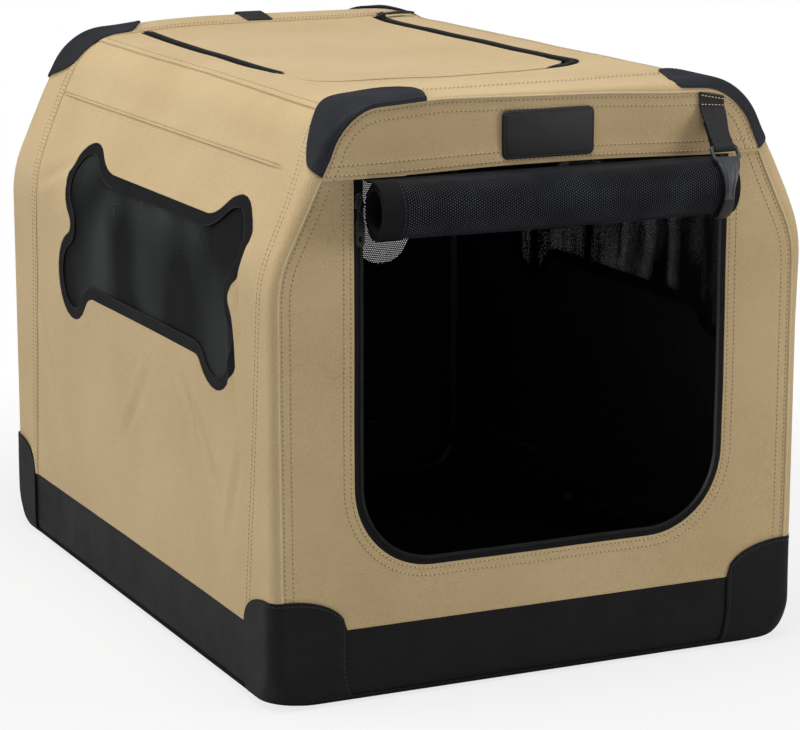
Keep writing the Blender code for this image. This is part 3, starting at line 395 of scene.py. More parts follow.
def sag(s, y):  # how far the cloth sinks between the hoops
    flat = max(0.0, 1 - (y / shell.hoop) ** 2)
    depth = shell.roofSag + (shell.wallSag - shell.roofSag) * over(abs(s), 0.22, 0.42)
    depth *= (1 - 0.85 * over(abs(s), 0.5, 0.64)) * (1 - over(s, 0.05, 0.16) * (1 - over(s, 0.30, 0.42)))
    bump = over(-y, 0.221, 0.243) * (1 - over(-y, 0.258, 0.292))
    bump *= over(s, -0.165, -0.12) * (1 - over(s, 0.06, 0.13))
    return depth * flat - shell.bump * bump - crown(s, y) + dent(s, y)


# Soft creases in the walls, in millimetres: s and y of both ends, half width, depth
creases = [(530, -180, 460, -128, 5.5, 1.6), (560, -225, 480, -160, 5, 1.3),
           (300, -262, 350, -300, 5, 1.5), (285, -215, 322, -262, 4, 1.1), (560, 30, 470, -50, 6, 0.9),
           (310, 180, 345, 262, 6, 1.1), (570, 215, 470, 262, 6, 1), (590, -240, 500, -275, 5, 1.2),
           (470, -262, 385, -249, 5, 1.2), (425, -277, 340, -262, 4.5, 1.2)]


def creased(s, y):
    depth = 0.0
    for s0, y0, s1, y1, half, deep in ([value / 1000 for value in crease] for crease in creases):
        runS, runY = s1 - s0, y1 - y0
        length = hypot(runS, runY)
        share = ((abs(s) - s0) * runS + (y - y0) * runY) / length ** 2
        if -0.15 < share < 1.15:
            away = ((abs(s) - s0) * runY - (y - y0) * runS) / length
            if abs(away) < 3 * half:
                fade = over(share, -0.15, 0.35) * (1 - over(share, 0.65, 1.15))
                valley, ridge = exp(-(away / half) ** 2), exp(-((away - 1.5 * half) / half) ** 2)
                depth += deep * fade * (valley - 0.55 * ridge)
    return depth * 2.4 * over(shell.seam - abs(y), 0, 0.015)


def ripple(place):  # soft unevenness of stretched cloth
    return noise.noise(place * 6.5 + Vector((3.1, 0, 0))) * 0.0013 + noise.noise(place * 19.0) * 0.0005


def overShell(s, y, w):
    x, z, outX, outZ = section(s)
    place = Vector((x, y, z))
    loose = 1 - 0.6 * over(abs(s), 0.55, 0.65)
    w += ripple(place) * over(shell.hoop - abs(y), 0, 0.05) * loose - sag(s, y)
    if abs(s) > 0.25:
        w -= creased(s, y)
    return place + Vector((outX, 0, outZ)) * w


def overHoop(end):  # t metres from the end wall's seam, round the tube and back along the shell
    def wrap(s, t, w):
        x, z, outX, outZ = section(s)
        edge = edgeAt(s, end)
        t *= (edge * (pi / 2 - 1) + shell.sleeveBack) / shell.reach
        turn, back = min(max(0.0, t / edge), pi / 2), max(0.0, t - edge * pi / 2)
        out = (edge + w) * sin(turn) - edge + min(0.0, t)
        y = -end * (edge - (edge + w) * cos(turn) + back - endFace)
        place = Vector((x, y, z))
        if back > 0:
            out += ripple(place) * over(back, 0, 0.05) - sag(s, y)
        else:
            out += (crown(s, y) - dent(s, y)) * over(t, -0.03, -0.01)
        return place + Vector((outX, 0, outZ)) * out
    return wrap


def hoopRun(s, end, back):  # the flat distance over a hoop that reaches so far behind the end's face
    turned = edgeAt(s, end) * (pi / 2 - 1)
    return (turned + back) * shell.reach / (turned + shell.sleeveBack)


def overEnd(end):  # an end wall, x across and z up
    def wrap(x, z, w):
        place = Vector((x, end * endFace, z))
        inside = over(0.24 - abs(x), 0, 0.04) * over(z, 0.06, 0.1)
        return place + Vector((0, end * (w + ripple(place * 1.3) * 0.9 * inside), 0))
    return wrap


def baseRow(height):  # plan radius of the bottom corners
    share = max(0.0, 1 - height / shell.cornerHeight)
    return shell.edge + (shell.cornerRadius - shell.edge) * share ** 2


# p metres round from the end wall's middle, q metres up from where the floor starts to curve
def overBase(end):
    bottom = shell.floorRadius
    curve = bottom * pi / 2
    nominal = shell.width / 2 - shell.edge + shell.edge * pi / 2 + endFace - shell.edge - shell.seam

    def wrap(p, q, w):
        rolled = min(max(q / bottom, 0.0), pi / 2)  # round the bottom edge
        lift, out = cos(rolled), sin(rolled)
        inset, z = bottom - bottom * out + max(0.0, -q), bottom - bottom * lift + max(0.0, q - curve)
        radius = max(0.002, baseRow(z) - inset)
        half, face = shell.width / 2 - inset, endFace - inset
        straight, upright = half - radius, face - radius - shell.seam
        run = abs(p) / nominal * (straight + radius * pi / 2 + upright)
        turned = min(max((run - straight) / radius, 0.0), pi / 2)  # round the corner
        outX, outY, side = sin(turned), cos(turned), (-1 if p < 0 else 1)
        x = min(run, straight) + radius * outX
        y = face - radius + radius * outY - max(0.0, run - straight - radius * pi / 2)
        place = Vector((side * x, end * y, z))
        w += ripple(place * 1.4) * 0.5 * over(z, 0.012, 0.04)
        return place + Vector((side * outX * out, end * outY * out, -lift)) * w
    return wrap


# Flat cloth is cut and trimmed first, then laid over the shell
def thicken(bm, faces, thick):  # a closed block, from its lower faces
    made = bmesh.ops.extrude_face_region(bm, geom=faces, use_keep_orig=True)
    raised = [v for v in made["geom"] if isinstance(v, bmesh.types.BMVert)]
    bmesh.ops.translate(bm, vec=(0, 0, thick), verts=raised)
    bmesh.ops.recalc_face_normals(bm, faces=bm.faces)
    return bm


def grid(spanU, spanV, cell, thick, low=0.0):
    bm = bmesh.new()
    wide, high = spanU[1] - spanU[0], spanV[1] - spanV[0]
    cellU, cellV = cell if isinstance(cell, tuple) else (cell, cell)
    bmesh.ops.create_grid(bm, x_segments=max(1, round(wide / cellU)), y_segments=max(1, round(high / cellV)),
                          size=0.5)
    bmesh.ops.scale(bm, vec=(wide, high, 1), verts=bm.verts)
    bmesh.ops.translate(bm, vec=(sum(spanU) / 2, sum(spanV) / 2, low - thick), verts=bm.verts)
    return thicken(bm, bm.faces[:], thick)


def prism(outline, thick, low):
    bm = bmesh.new()
    return thicken(bm, [bm.faces.new([bm.verts.new((u, v, low)) for u, v in outline])], thick)


def meshOf(bm, name):
    mesh = bpy.data.meshes.new(name)
    bm.to_mesh(mesh)
    bm.free()
    return mesh


def trim(bm, keep, drop):  # keeps what is inside the first outline, less what is inside the second
    body = added("trimmed", meshOf(bm, "trimmed"))
    tools = []
    for outline, operation in ((keep, "INTERSECT"), (drop, "DIFFERENCE")):
        if outline:
            tools.append(added("punch", meshOf(prism(outline, 0.1, -0.05), "punch")))
            cutter = body.modifiers.new("cut", "BOOLEAN")
            cutter.object, cutter.operation, cutter.solver = tools[-1], operation, "EXACT"
    bpy.context.view_layer.update()
    result = body.evaluated_get(bpy.context.evaluated_depsgraph_get()).to_mesh()
    bm = bmesh.new()
    bm.from_mesh(result)
    for thing in [body, *tools]:
        bpy.data.objects.remove(thing)
    return bm


# Flat places become the cut's own coordinates, then the cloth goes over the shell
def lay(bm, wrap, lift=None):
    cutMap = bm.loops.layers.uv.new("cut")
    for face in bm.faces:
        for loop in face.loops:
            loop[cutMap].uv = loop.vert.co.xy
    for vert in bm.verts:
        u, v, w = vert.co
        vert.co = wrap(u, v, w + (lift(u, v) if lift else 0.0))
    bmesh.ops.recalc_face_normals(bm, faces=bm.faces)
    return bm


def piece(name, bm, body, paints, stands=(), sharp=38, squashed=False):
    obj = added(name, meshOf(bm, name))
    for paint in paints:
        obj.data.materials.append(paint)
    obj.data.shade_smooth()
    obj.data.set_sharp_from_angle(angle=radians(sharp))
    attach(obj, body)
    if stands:
        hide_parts(*stands)
    if squashed:
        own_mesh(obj)
    return obj


def lined(bm, depth):  # the cloth's inner face takes the second material
    for face in bm.faces:
        if face.normal.z < -0.5 and face.calc_center_median().z < -depth:
            face.material_index = 1
    return bm


def sew(name, spanU, spanV, wrap, body, paints, cell=0.006, thick=0.0016, low=0.0, keep=None, drop=None,
        lift=None, **rest):
    bm = grid(spanU, spanV, cell, thick, low)
    if keep or drop:
        bm = trim(bm, keep, drop)
    if len(paints) > 1:
        lined(bm, thick / 2 - low)
    return piece(name, lay(bm, wrap, lift), body, paints, **rest)


def spaced(low, high, steps):
    return [low + (high - low) * i / steps for i in range(steps + 1)]


def arc(centre, radius, start, end, steps=12):  # points from one angle to another, in degrees
    angles = [radians(a) for a in spaced(start, end, steps)]
    return [(centre[0] + radius * cos(a), centre[1] + radius * sin(a)) for a in angles]


def block(low, high, radii, steps=10):  # a rectangle, its corners rounded from the low left one round
    corners = [(low, (1, 1), 180), ((high[0], low[1]), (-1, 1), 270),
               (high, (-1, -1), 0), ((low[0], high[1]), (1, -1), 90)]
    points = []
    for (corner, inward, start), radius in zip(corners, radii):
        if radius <= 0:
            points.append(corner)
        else:
            centre = (corner[0] + inward[0] * radius, corner[1] + inward[1] * radius)
            points += arc(centre, radius, start, start + 90, steps)
    return points


def sweep(centre, radius, start, end, clockwise):
    turn = (end - start) % 360 - (360 if clockwise else 0)
    return arc(centre, radius, start, start + turn, 14)


def angle(here, there):
    return degrees(atan2(there[1] - here[1], there[0] - here[0]))


# Four lobes, clockwise from the top right, each (a, b, radius, fillet), and the shaft between two heights
def bone(lobes, top, low, shrink, notch=0.010):
    places, points = [], []
    for i, (a, b, radius, fillet) in enumerate(lobes):
        radius, fillet = radius - shrink, fillet + shrink
        level = (top - shrink + fillet) if i in (0, 3) else (low + shrink - fillet)
        run = sqrt((radius + fillet) ** 2 - (level - b) ** 2)
        places.append(((a, b), radius, (a - run if i < 2 else a + run, level), fillet))
    for first, second, entry in ((0, 1, 270), (2, 3, 90)):
        start, startRadius, startFillet, filletIn = places[first]
        end, endRadius, endFillet, filletOut = places[second]
        apart, small = dist(start, end), notch + shrink
        run = (apart ** 2 + (startRadius + small) ** 2 - (endRadius + small) ** 2) / (2 * apart)
        out = sqrt((startRadius + small) ** 2 - run ** 2)
        wayA, wayB = (end[0] - start[0]) / apart, (end[1] - start[1]) / apart
        middle = (start[0] + wayA * run - wayB * out, start[1] + wayB * run + wayA * out)
        points += sweep(startFillet, filletIn, entry, angle(startFillet, start), False)
        points += sweep(start, startRadius, angle(start, startFillet), angle(start, middle), True)[1:]
        points += sweep(middle, small, angle(middle, start), angle(middle, end), False)[1:]
        points += sweep(end, endRadius, angle(end, middle), angle(end, endFillet), True)[1:]
        points += sweep(endFillet, filletOut, angle(endFillet, end), 360 - entry, False)[1:]
    return points[::-1]


def endOutline(inset, end=-1):  # the end wall, so far inside the end's edge
    points = []
    for s in spaced(bandRun, -bandRun, 150):
        x, z, outX, outZ = section(s)
        inwards = inset + edgeAt(s, end) - crown(s, end * endFace) + dent(s, end * endFace)
        points.append((x - outX * inwards, z - outZ * inwards))
    return points


def opened(outline):  # an outline as a line that starts at its last point
    return outline[-1:] + outline[:-1]


def offset(points, apart):  # a line moved to its left
    moved = []
    for i, here in enumerate(points):
        before, after = Vector(points[max(i - 1, 0)]), Vector(points[min(i + 1, len(points) - 1)])
        way = (after - before).normalized()
        moved.append((here[0] - way.y * apart, here[1] + way.x * apart))
    return moved


def lengthsOf(points):  # how far along a line each of its points lies
    lengths = [0.0]
    for here, there in zip(points, points[1:]):
        lengths.append(lengths[-1] + dist(here, there))
    return lengths


def onCloth(wrap, u, v, w):  # a place on the cloth, and the way out from it
    here = wrap(u, v, w)
    return here, (wrap(u, v, w + 0.001) - here).normalized()


def tube(wrap, points, radius, w=0.0, sides=8):  # a round cord laid on the cloth along flat points
    bm = bmesh.new()
    last = len(points) - 1
    bmesh.ops.create_grid(bm, x_segments=last, y_segments=sides, size=0.5)
    cutMap = bm.loops.layers.uv.new("cut")
    lengths = lengthsOf(points)
    for face in bm.faces:
        for loop in face.loops:
            step = round((loop.vert.co.x + 0.5) * last)
            loop[cutMap].uv = (lengths[step], (loop.vert.co.y + 0.5) * 2 * pi * radius)
    centres, ups = zip(*(onCloth(wrap, *point, w) for point in points))
    for vert in bm.verts:
        step, turn = round((vert.co.x + 0.5) * last), (vert.co.y + 0.5) * 2 * pi
        across = ups[step].cross(centres[min(step + 1, last)] - centres[max(step - 1, 0)]).normalized()
        vert.co = centres[step] + (across * cos(turn) + ups[step] * sin(turn)) * radius
    bmesh.ops.remove_doubles(bm, verts=bm.verts, dist=1e-6)
    bmesh.ops.holes_fill(bm, edges=[e for e in bm.edges if e.is_boundary], sides=0)
    bmesh.ops.recalc_face_normals(bm, faces=bm.faces)
    return bm


def pour(whole, part):
    mesh = meshOf(part, "part")
    whole.from_mesh(mesh)
    bpy.data.meshes.remove(mesh)


def joined(parts):
    whole = bmesh.new()
    for part in parts:
        pour(whole, part)
    return whole


def along(points, step):  # points a steady step apart on a line, each with the way on
    made, left = [], 0.0
    for here, there in zip(points, points[1:]):
        here, there = Vector(here), Vector(there)
        length = (there - here).length
        while left < length and length > 0:
            made.append((here.lerp(there, left / length), (there - here).normalized()))
            left += step
        left -= length
    return made


# Stitches: short raised threads, a row at a time, with small dark beads between them as painted shade in the
# needle holes; hole is the size of those beads
stitch = Sizes(pitch=0.0042, length=0.0030, radius=0.00042, sides=5, hole=0.00055)


def setAt(place, first, second, sizes):  # where a small thing of that size lies, along two ways
    turn = Matrix((first, second, first.cross(second))).transposed().to_4x4()
    return Matrix.Translation(place) @ turn @ Matrix.Diagonal((*sizes, 1)) @ Matrix.Rotation(pi / 2, 4, "Y")


def bead(start, end, up, radius):  # where one short thread from start to end lies
    forward = (end - start).normalized()
    return setAt((start + end) / 2 + up * radius * 0.3, forward, up.cross(forward).normalized(),
                 ((end - start).length / 2, radius, radius * 0.8))


# The same small thing in many places, a few at a time because that is quicker
def scatter(whole, places, make):
    for first in range(0, len(places), 12):
        bm = bmesh.new()
        for place in places[first:first + 12]:
            make(bm, place)
        pour(whole, bm)


def threadAt(bm, place):
    bmesh.ops.create_uvsphere(bm, u_segments=stitch.sides, v_segments=4, radius=1.0, matrix=place)


def toothAt(bm, place):
    bmesh.ops.create_cone(bm, cap_ends=True, segments=8, radius1=1.0, radius2=1.0, depth=2.0, matrix=place)


def stitchRow(whole, wrap, points, w=0.0, pitch=stitch.pitch, length=stitch.length, holeShade=None):
    threads, holeShadeSpots = [], []
    for spot, way in along(points, pitch):
        start, up = onCloth(wrap, *spot, w)
        end = wrap(*(spot + way * length), w)
        if (end - start).length > 1e-6:
            threads.append(bead(start, end, up, stitch.radius))
            step = (end - start).normalized() * (pitch - length)
            # a dark bead in the gap after each stitch, as painted shade in its needle hole
            holeShadeSpots.append(bead(end + step * 0.05, end + step * 0.95, up, stitch.hole))
    scatter(whole, threads, threadAt)
    if holeShade is not None:
        scatter(holeShade, holeShadeSpots, threadAt)


def teethRow(whole, wrap, points, wide, pitch, w):  # small bars across a zipper's tape
    places = []
    for spot, way in along(points, pitch):
        here, up = onCloth(wrap, *spot, w)
        forward = (wrap(*(spot + way * 0.001), w) - here).normalized()
        places.append(setAt(here, up.cross(forward).normalized(), forward, (wide / 2, pitch * 0.36, 0.0006)))
    scatter(whole, places, toothAt)


frontStitches, backStitches, wallStitches, flapStitches = (bmesh.new() for _ in range(4))
frontHoleShade, backHoleShade, wallHoleShade, hemHoleShade = (bmesh.new() for _ in range(4))
darkFront, darkBack, darkWall = (bmesh.new() for _ in range(3))
tanLined, baseLined = [tanCloth, lining], [baseCloth, lining]


# Side walls, each with a bone-shaped netting window bound with tape
wall = Sizes(lobes=[(0.146, 0.388, 0.044, 0.08), (0.162, 0.294, 0.043, 0.03), (-0.2140, 0.305, 0.048, 0.018),
                    (-0.227, 0.390, 0.045, 0.05)], top=0.4085, low=0.2800, tape=0.0115)
# Where the wall would meet the floor
floorRun = sum(runs[:4]) + shell.height - shell.leanHeight - bendTangent


def slack(s, y):  # the netting hangs in soft folds
    middle = over(0.20 - abs(y + 0.04), 0.0, 0.05) * over(0.055 - abs(abs(s) - 0.335), 0.0, 0.04)
    return -0.0022 * middle * (0.5 + 0.5 * sin((y + 0.8 * abs(s)) * 85))


for side, label in bothSides:
    spanU = tuple(sorted((side * bandRun, side * sideRun)))
    outline, inner = ([(side * (floorRun - b), a) for a, b in points[::-side]] for points in (
        bone(wall.lobes, wall.top, wall.low, shrink) for shrink in (0.0, wall.tape)))
    cloth = sew(label + "Wall", spanU, seamV, overShell, "crate", tanLined, drop=outline,
                stands=[label + "_panel"], squashed=True)
    bandRun - sideRun
    (bandRun - sideRun) * 2 * shell.seam - 0.048
    net = sew(label + "Netting", spanU, seamV, overShell, "crate", [sideNetting], thick=0.0002, low=-0.0022,
              cell=(0.006, 0.005), keep=outline, lift=slack, stands=[label + "_window"], squashed=True)
    sew(label + "WindowTape", spanU, seamV, overShell, "crate", [bindingTape], thick=0.0014, low=-0.0006,
        keep=outline, drop=inner, squashed=True)
    stitchRow(darkWall, overShell, inner, w=-0.0006)
    rowAt = side * (sideRun + 0.004)
    stitchRow(wallStitches, overShell, [(rowAt, -0.280), (rowAt, 0.280)])
print("scene: walls made")


# Roof: one cloth from hem to hem, with two felled seams, and a door with a zipper round three sides
roof = Sizes(doorHalf=0.1227, doorFront=-0.1675, doorRear=0.280, corner=0.025, zipper=0.0143,
             fell=0.0095, row=0.283)


def grown(by, rear):  # the roof door's outline, moved out by so much on three sides
    radius, half = roof.corner + by, roof.doorHalf + by
    return block((-half, roof.doorFront - by), (half, rear), (radius, radius, 0, 0))


def roofLift(s, y):  # the roof's hems lie over the walls
    return 0.0009 * over(abs(s), sideRun - 0.013, sideRun - 0.007) * over(shell.seam - abs(y), 0.0, 0.03)


cloth = sew("roofCloth", (-sideRun + 0.0002, sideRun - 0.0002), seamV, overShell, "crate", tanLined,
            drop=grown(roof.zipper - 0.001, 0.2803), lift=roofLift, stands=["roof_panel"], squashed=True)
2 * sideRun
2 * sideRun * 0.57 - 0.125


def flapLift(x, y):  # the roof door sinks a little in the middle and curls at its left edge
    middle = over(0.123 - abs(x), 0, 0.09) * over(y - roof.doorFront, 0, 0.12) * over(0.28 - y, 0, 0.2)
    left = over(-x, 0.085, 0.123) * exp(-((y + 0.03) / 0.12) ** 2)
    cover = 0.0009 * closing(x, y) * max(over(-x, 0.10, 0.116), over(-y, 0.148, 0.163))
    return -0.0016 * middle - 0.0014 * left + max(0.0, cover)


def closing(x, y):  # how far the door's cloth covers its zipper: not at all behind, wholly at the left front
    left = over(-y, -0.020, 0.115) * (1 - over(x, 0.086, 0.100))
    return left - 0.34 * over(x, 0.092, 0.112) * over(-y, 0.100, 0.140)


def dense(points, step=0.012):
    made = []
    for here, there in zip(points, points[1:] + points[:1]):
        count = max(1, round(dist(here, there) / step))
        made += [tuple(Vector(here).lerp(Vector(there), i / count)) for i in range(count)]
    return made


doorLine = []
for here, there in zip(dense(grown(0.0, roof.doorRear)),
                       dense(grown(roof.zipper - 0.0013, roof.doorRear + 0.0143))):
    doorLine.append(tuple(Vector(here).lerp((there[0], min(there[1], roof.doorRear)), closing(*here))))
door = sew("roofDoor", (-roof.doorHalf - 0.0135, roof.doorHalf), (roof.doorFront - 0.0135, roof.doorRear),
           overShell, "roof_door", tanLined, keep=doorLine, lift=flapLift, stands=["roof_flap"],
           squashed=True)


def ring(thick, top, outer, inner):  # a band of tape round the roof door
    band = grid((-0.1432, 0.1432), (roof.doorFront - 0.0205, 0.2800), 0.005, thick, top)
    return trim(band, grown(outer, 0.2799), grown(inner, 0.3))


tape = lay(ring(0.0009, 0.0003, roof.zipper - 0.0013, 0.0008), overShell,
           lambda x, y: -0.0014 * max(0.0, closing(x, y)))
under = lay(ring(0.0005, -0.0034, 0.0200, -0.0050), overShell)  # its woven edges, sewn under both cloths
piece("roofZipperTape", joined([tape, under]), "crate", [bindingTape], stands=["roof_zipper"], squashed=True)


def underCover(x, y, w):  # the teeth sink where the door's cloth covers them
    return overShell(x, y, w - 0.0020 * max(0.0, closing(x, y)))


teeth = bmesh.new()
for apart in (-0.0011, 0.0011):
    teethRow(teeth, underCover, offset(opened(grown(0.0068, 0.2795)), apart), 0.0032, 0.0019, 0.0006)
piece("roofZipperTeeth", teeth, "crate", [zipperTeeth], squashed=True)


def pucker(u, y):  # the felled seam is drawn in by its two rows of stitches
    waves = 0.0004 * sin(y * 460 + 2 * sin(y * 37))
    return waves * (abs(u) < 0.0040) - 0.0010 * (abs(u) > 0.0044)


fells = []
rowV = (-roof.row, roof.row)
for side in (-1, 1):
    onFell = lambda u, y, w, side=side: overShell(side * readOff(y, rows["fell"]) + u, y, w)
    half = roof.fell / 2
    fells.append(lay(grid((-half, half), seamV, (0.0016, 0.0035), 0.0008, 0.0012), onFell, pucker))
    for apart in (-0.0035, 0.0035):
        stitchRow(wallStitches, onFell, [(apart, y) for y in spaced(*rowV, 20)], w=0.0012, holeShade=wallHoleShade)
    hem = side * (sideRun - 0.0032)
    stitchRow(wallStitches, overShell, [(hem, y) for y in rowV], w=0.0009, holeShade=wallHoleShade)
piece("roofFells", joined(fells), "crate", [tanCloth], squashed=True)
stitchRow(flapStitches, lambda x, y, w: overShell(x, y, w + flapLift(x, y)), grown(-0.0035, 0.279)[1:-1])
stitchRow(wallStitches, overShell, opened(grown(roof.zipper + 0.0025, 0.2803)))
print("scene: roof made")


# Sleeves that hold the hoops, with their piping
sleeve = Sizes(over=0.0011, piping=0.0013)
for (end, label, body), threads, holeShade in zip(bothEnds, (frontStitches, backStitches), (hemHoleShade, backHoleShade)):
    wrap = overHoop(end)
    hem = cache(lambda s, end=end, label=label: hoopRun(s, end, readOff(abs(s), rows[label + "Hem"])))
    if end < 0:
        step = lambda s, t: sleeve.over * (1 - over(t, min(hem(s), shell.reach + 0.001), hem(s) + 0.0012))
        bm = grid((-bandRun, bandRun), (0.0, shell.reach), (0.008, 0.00125), 0.0016)
    else:  # its hem lies on the walls
        step = lambda s, t: sleeve.over * over(t, 0.045, 0.062)
        bm = grid((-bandRun, bandRun), (0.0, shell.reach), (0.008, 0.0021), 0.0016)
        for vert in bm.verts:
            vert.co.y *= hem(vert.co.x) / shell.reach
    cloth = piece(label + "Sleeve", lay(lined(bm, 0.0008), wrap, step), body, tanLined,
                  stands=[f"{label}_sleeve_{part}" for part in ("left", "top", "right")])
    2 * bandRun
    for inset in (0.0030, 0.0105):
        line = [(s, hem(s) - inset) for s in spaced(0.003 - bandRun, bandRun - 0.003, 160)]
        stitchRow(threads, wrap, line, w=sleeve.over, holeShade=holeShade)
    edgePath = [(s, 0.0) for s in spaced(-bandRun, bandRun, 220)]
    piece(label + "Piping", tube(wrap, edgePath, sleeve.piping, w=0.0002), body, [highlitPipingCloth])
print("scene: sleeves made")


# End walls: the doorway with its header in front, a bone window behind
ends = Sizes(inset=0.0006, doorHalf=0.181, sill=0.115, corner=0.075, seam=0.457, top=0.5225,
             rows=(0.0036, 0.0111))
front, rear = overEnd(-1), overEnd(1)
wallSpan, wallFoot = (-0.25, 0.25), 0.066
wallOutline = endOutline(ends.inset)


def doorway(inset, top):
    radius, half = ends.corner - inset, ends.doorHalf - inset
    return block((-half, ends.sill + inset), (half, top), (radius, radius, 0, 0), 16)


cloth = sew("frontWall", wallSpan, (wallFoot, ends.seam), front, "front_end", tanLined,
            keep=wallOutline, drop=doorway(0.0, 0.6), stands=["front_panel"])


def headerLift(x, z):  # the header's hem stands over the rolled door
    low = 1 - over(z, ends.seam, ends.seam + 0.02)
    return 0.0004 + low * (0.0008 + 0.0012 * over(0.2 - abs(x), 0, 0.05))


def overHeader(x, z, w):  # its hem rises a little in the middle
    return front(x, z + 0.0034 * (1 - over(abs(x), 0.02, 0.20)) * (1 - over(z, ends.seam + 0.004, 0.495)), w)


cloth = sew("header", (-0.22, 0.22), (ends.seam - 0.0015, ends.top), overHeader, "front_end", tanLined,
            keep=wallOutline, lift=headerLift, stands=["header_panel"])


def onHeader(x, z, w):
    return overHeader(x, z, w + headerLift(x, z))


def sewFront(wrap, line):
    stitchRow(frontStitches, wrap, line, holeShade=frontHoleShade)


for rise in (0.0022, 0.0105):
    half = 0.2070 - rise * 0.46
    sewFront(onHeader, [(-half, ends.seam + rise), (half, ends.seam + rise)])
for inset in ends.rows:
    line = endOutline(inset)
    sewFront(onHeader, [p for p in line if p[1] > ends.seam + 0.001])
    for hand in (-1, 1):
        sewFront(front, [p for p in line if p[1] < ends.seam - 0.001 and p[0] * hand > 0])
for inset in (-0.0030, -0.0095):
    sewFront(front, opened(doorway(inset, ends.seam - 0.002)))
sew("doorZipperTape", (-0.1815, 0.1815), (0.114, ends.seam - 0.0004), front, "front_end", [bindingTape],
    thick=0.0009, low=-0.0006, cell=0.005, keep=doorway(0.0004, 0.6), drop=doorway(0.0082, 0.6),
    stands=["door_zipper"])
teeth = bmesh.new()
teethRow(teeth, front, opened(doorway(0.0070, ends.seam - 0.001)), 0.0030, 0.0017, -0.0004)
piece("doorZipperTeeth", teeth, "front_end", [zipperTeeth])

rearLobes = [(x, z, 0.0435, 0.0326)
             for x, z in ((0.1633, 0.3541), (0.1633, 0.2777), (-0.1633, 0.2777), (-0.1633, 0.3541))]
rearBone, rearInner = (bone(rearLobes, 0.3736, 0.2582, shrink, 0.006) for shrink in (0.0, 0.0095))
cloth = sew("rearWall", wallSpan, (wallFoot, ends.top), rear, "crate", tanLined,
            keep=endOutline(ends.inset, 1), drop=rearBone, stands=["rear_panel"])
net = sew("rearNetting", wallSpan, (0.2, 0.5), rear, "crate", [netting], thick=0.0004, low=-0.0022,
          keep=rearBone, stands=["rear_window"])
sew("rearWindowTape", wallSpan, (0.2, 0.5), rear, "crate", [bindingTape], thick=0.0013, low=-0.0003,
    keep=rearBone, drop=rearInner)
stitchRow(darkBack, rear, rearInner, w=-0.0003)
for inset in ends.rows:
    stitchRow(backStitches, rear, endOutline(inset, 1), holeShade=backHoleShade)
print("scene: end walls made")


# Dark base in three cloths, and guards over its corners
base = Sizes(top=0.07285, span=0.3126, piping=0.0016, rim=0.0125)
guard = Sizes(near=0.1895, peak=0.2552, far=0.3123, low=0.0113, lift=0.0018, rise=0.032, lip=0.002)
middleRun = sum(runs)


def overFloor(c, y, w):  # c metres from the floor's middle, out and up to the band's top
    x, z, outX, outZ = section((-1 if c < 0 else 1) * (middleRun - abs(c)))
    place = Vector((x, y, z))
    w += (ripple(place * 1.4) * 0.6 - 0.0008 * max(0.0, 1 - (y / shell.hoop) ** 2)) * over(z, 0.012, 0.04)
    return place + Vector((outX, 0, outZ)) * w


def hemLift(p, q):
    return 0.0005 * over(q, base.top - 0.009, base.top - 0.003)


def puff(p, q):  # a guard stands off the base a little, inside its edges
    return 0.0005 * over(abs(p) - guard.near, 0, 0.012) * over(q, 0.011, 0.022)


top = []  # a guard's upper edge is an uneven arch
for p in spaced(guard.far, guard.near, 40):
    side = guard.near if p < guard.peak else guard.far
    bow = max(0.0, 1 - ((guard.peak - p) / (guard.peak - side)) ** 2.3) ** 0.5
    top.append((p, base.top + guard.lip + (guard.rise - guard.lip) * bow))
outline = [(guard.near, guard.low), (guard.far, guard.low)] + top
inner = [(guard.near + 0.003, guard.low + 0.004)] + [(p, q - 0.0032) for p, q in top[::-1][1:-1]]

for end, label, body in bothEnds:
    wrap = overBase(end)
    sew(label + "Base", (-base.span, base.span), (-0.047, base.top), wrap, body, baseLined,
        cell=0.004, lift=hemLift, stands=[label + "_base"])
    rim = [(p, base.rim) for p in spaced(-base.span, base.span, 240)]
    piece(label + "BasePiping", tube(wrap, rim, base.piping, w=0.0004), body, [bindingTape])
    for side, hand in bothSides:
        flat = [(side * p, q) for p, q in outline[::side]]
        span = tuple(sorted((side * guard.near, side * guard.far)))
        sew(f"{label}{hand.capitalize()}Guard", span, (guard.low, base.top + guard.rise + 0.001), wrap, body,
            [baseCloth], cell=0.0035, thick=0.0015, low=guard.lift, keep=flat, lift=puff,
            stands=[f"{label}_{hand}_guard"])
        stitchRow(darkFront if end < 0 else darkBack, lambda p, q, w: wrap(p, q, w + puff(p, q)),
                  [(side * p, q) for p, q in inner], w=guard.lift, pitch=0.0038)
reach = middleRun - bandRun - 0.0004
floor = sew("floorCloth", (-reach, reach), seamV, overFloor, "crate", baseLined,
            lift=lambda c, y: 0.0005 * over(abs(c), reach - 0.009, reach - 0.003), stands=["floor_sling"],
            squashed=True)
2 * reach
rims = []
for side in (-1, 1):
    x = side * (shell.width / 2 - shell.floorRadius + base.rim)
    rims.append(tube(overFloor, [(x, y) for y in spaced(-0.2848, 0.2848, 60)], base.piping, w=0.0004))
piece("sideBasePiping", joined(rims), "crate", [bindingTape], squashed=True)
print("scene: base made")


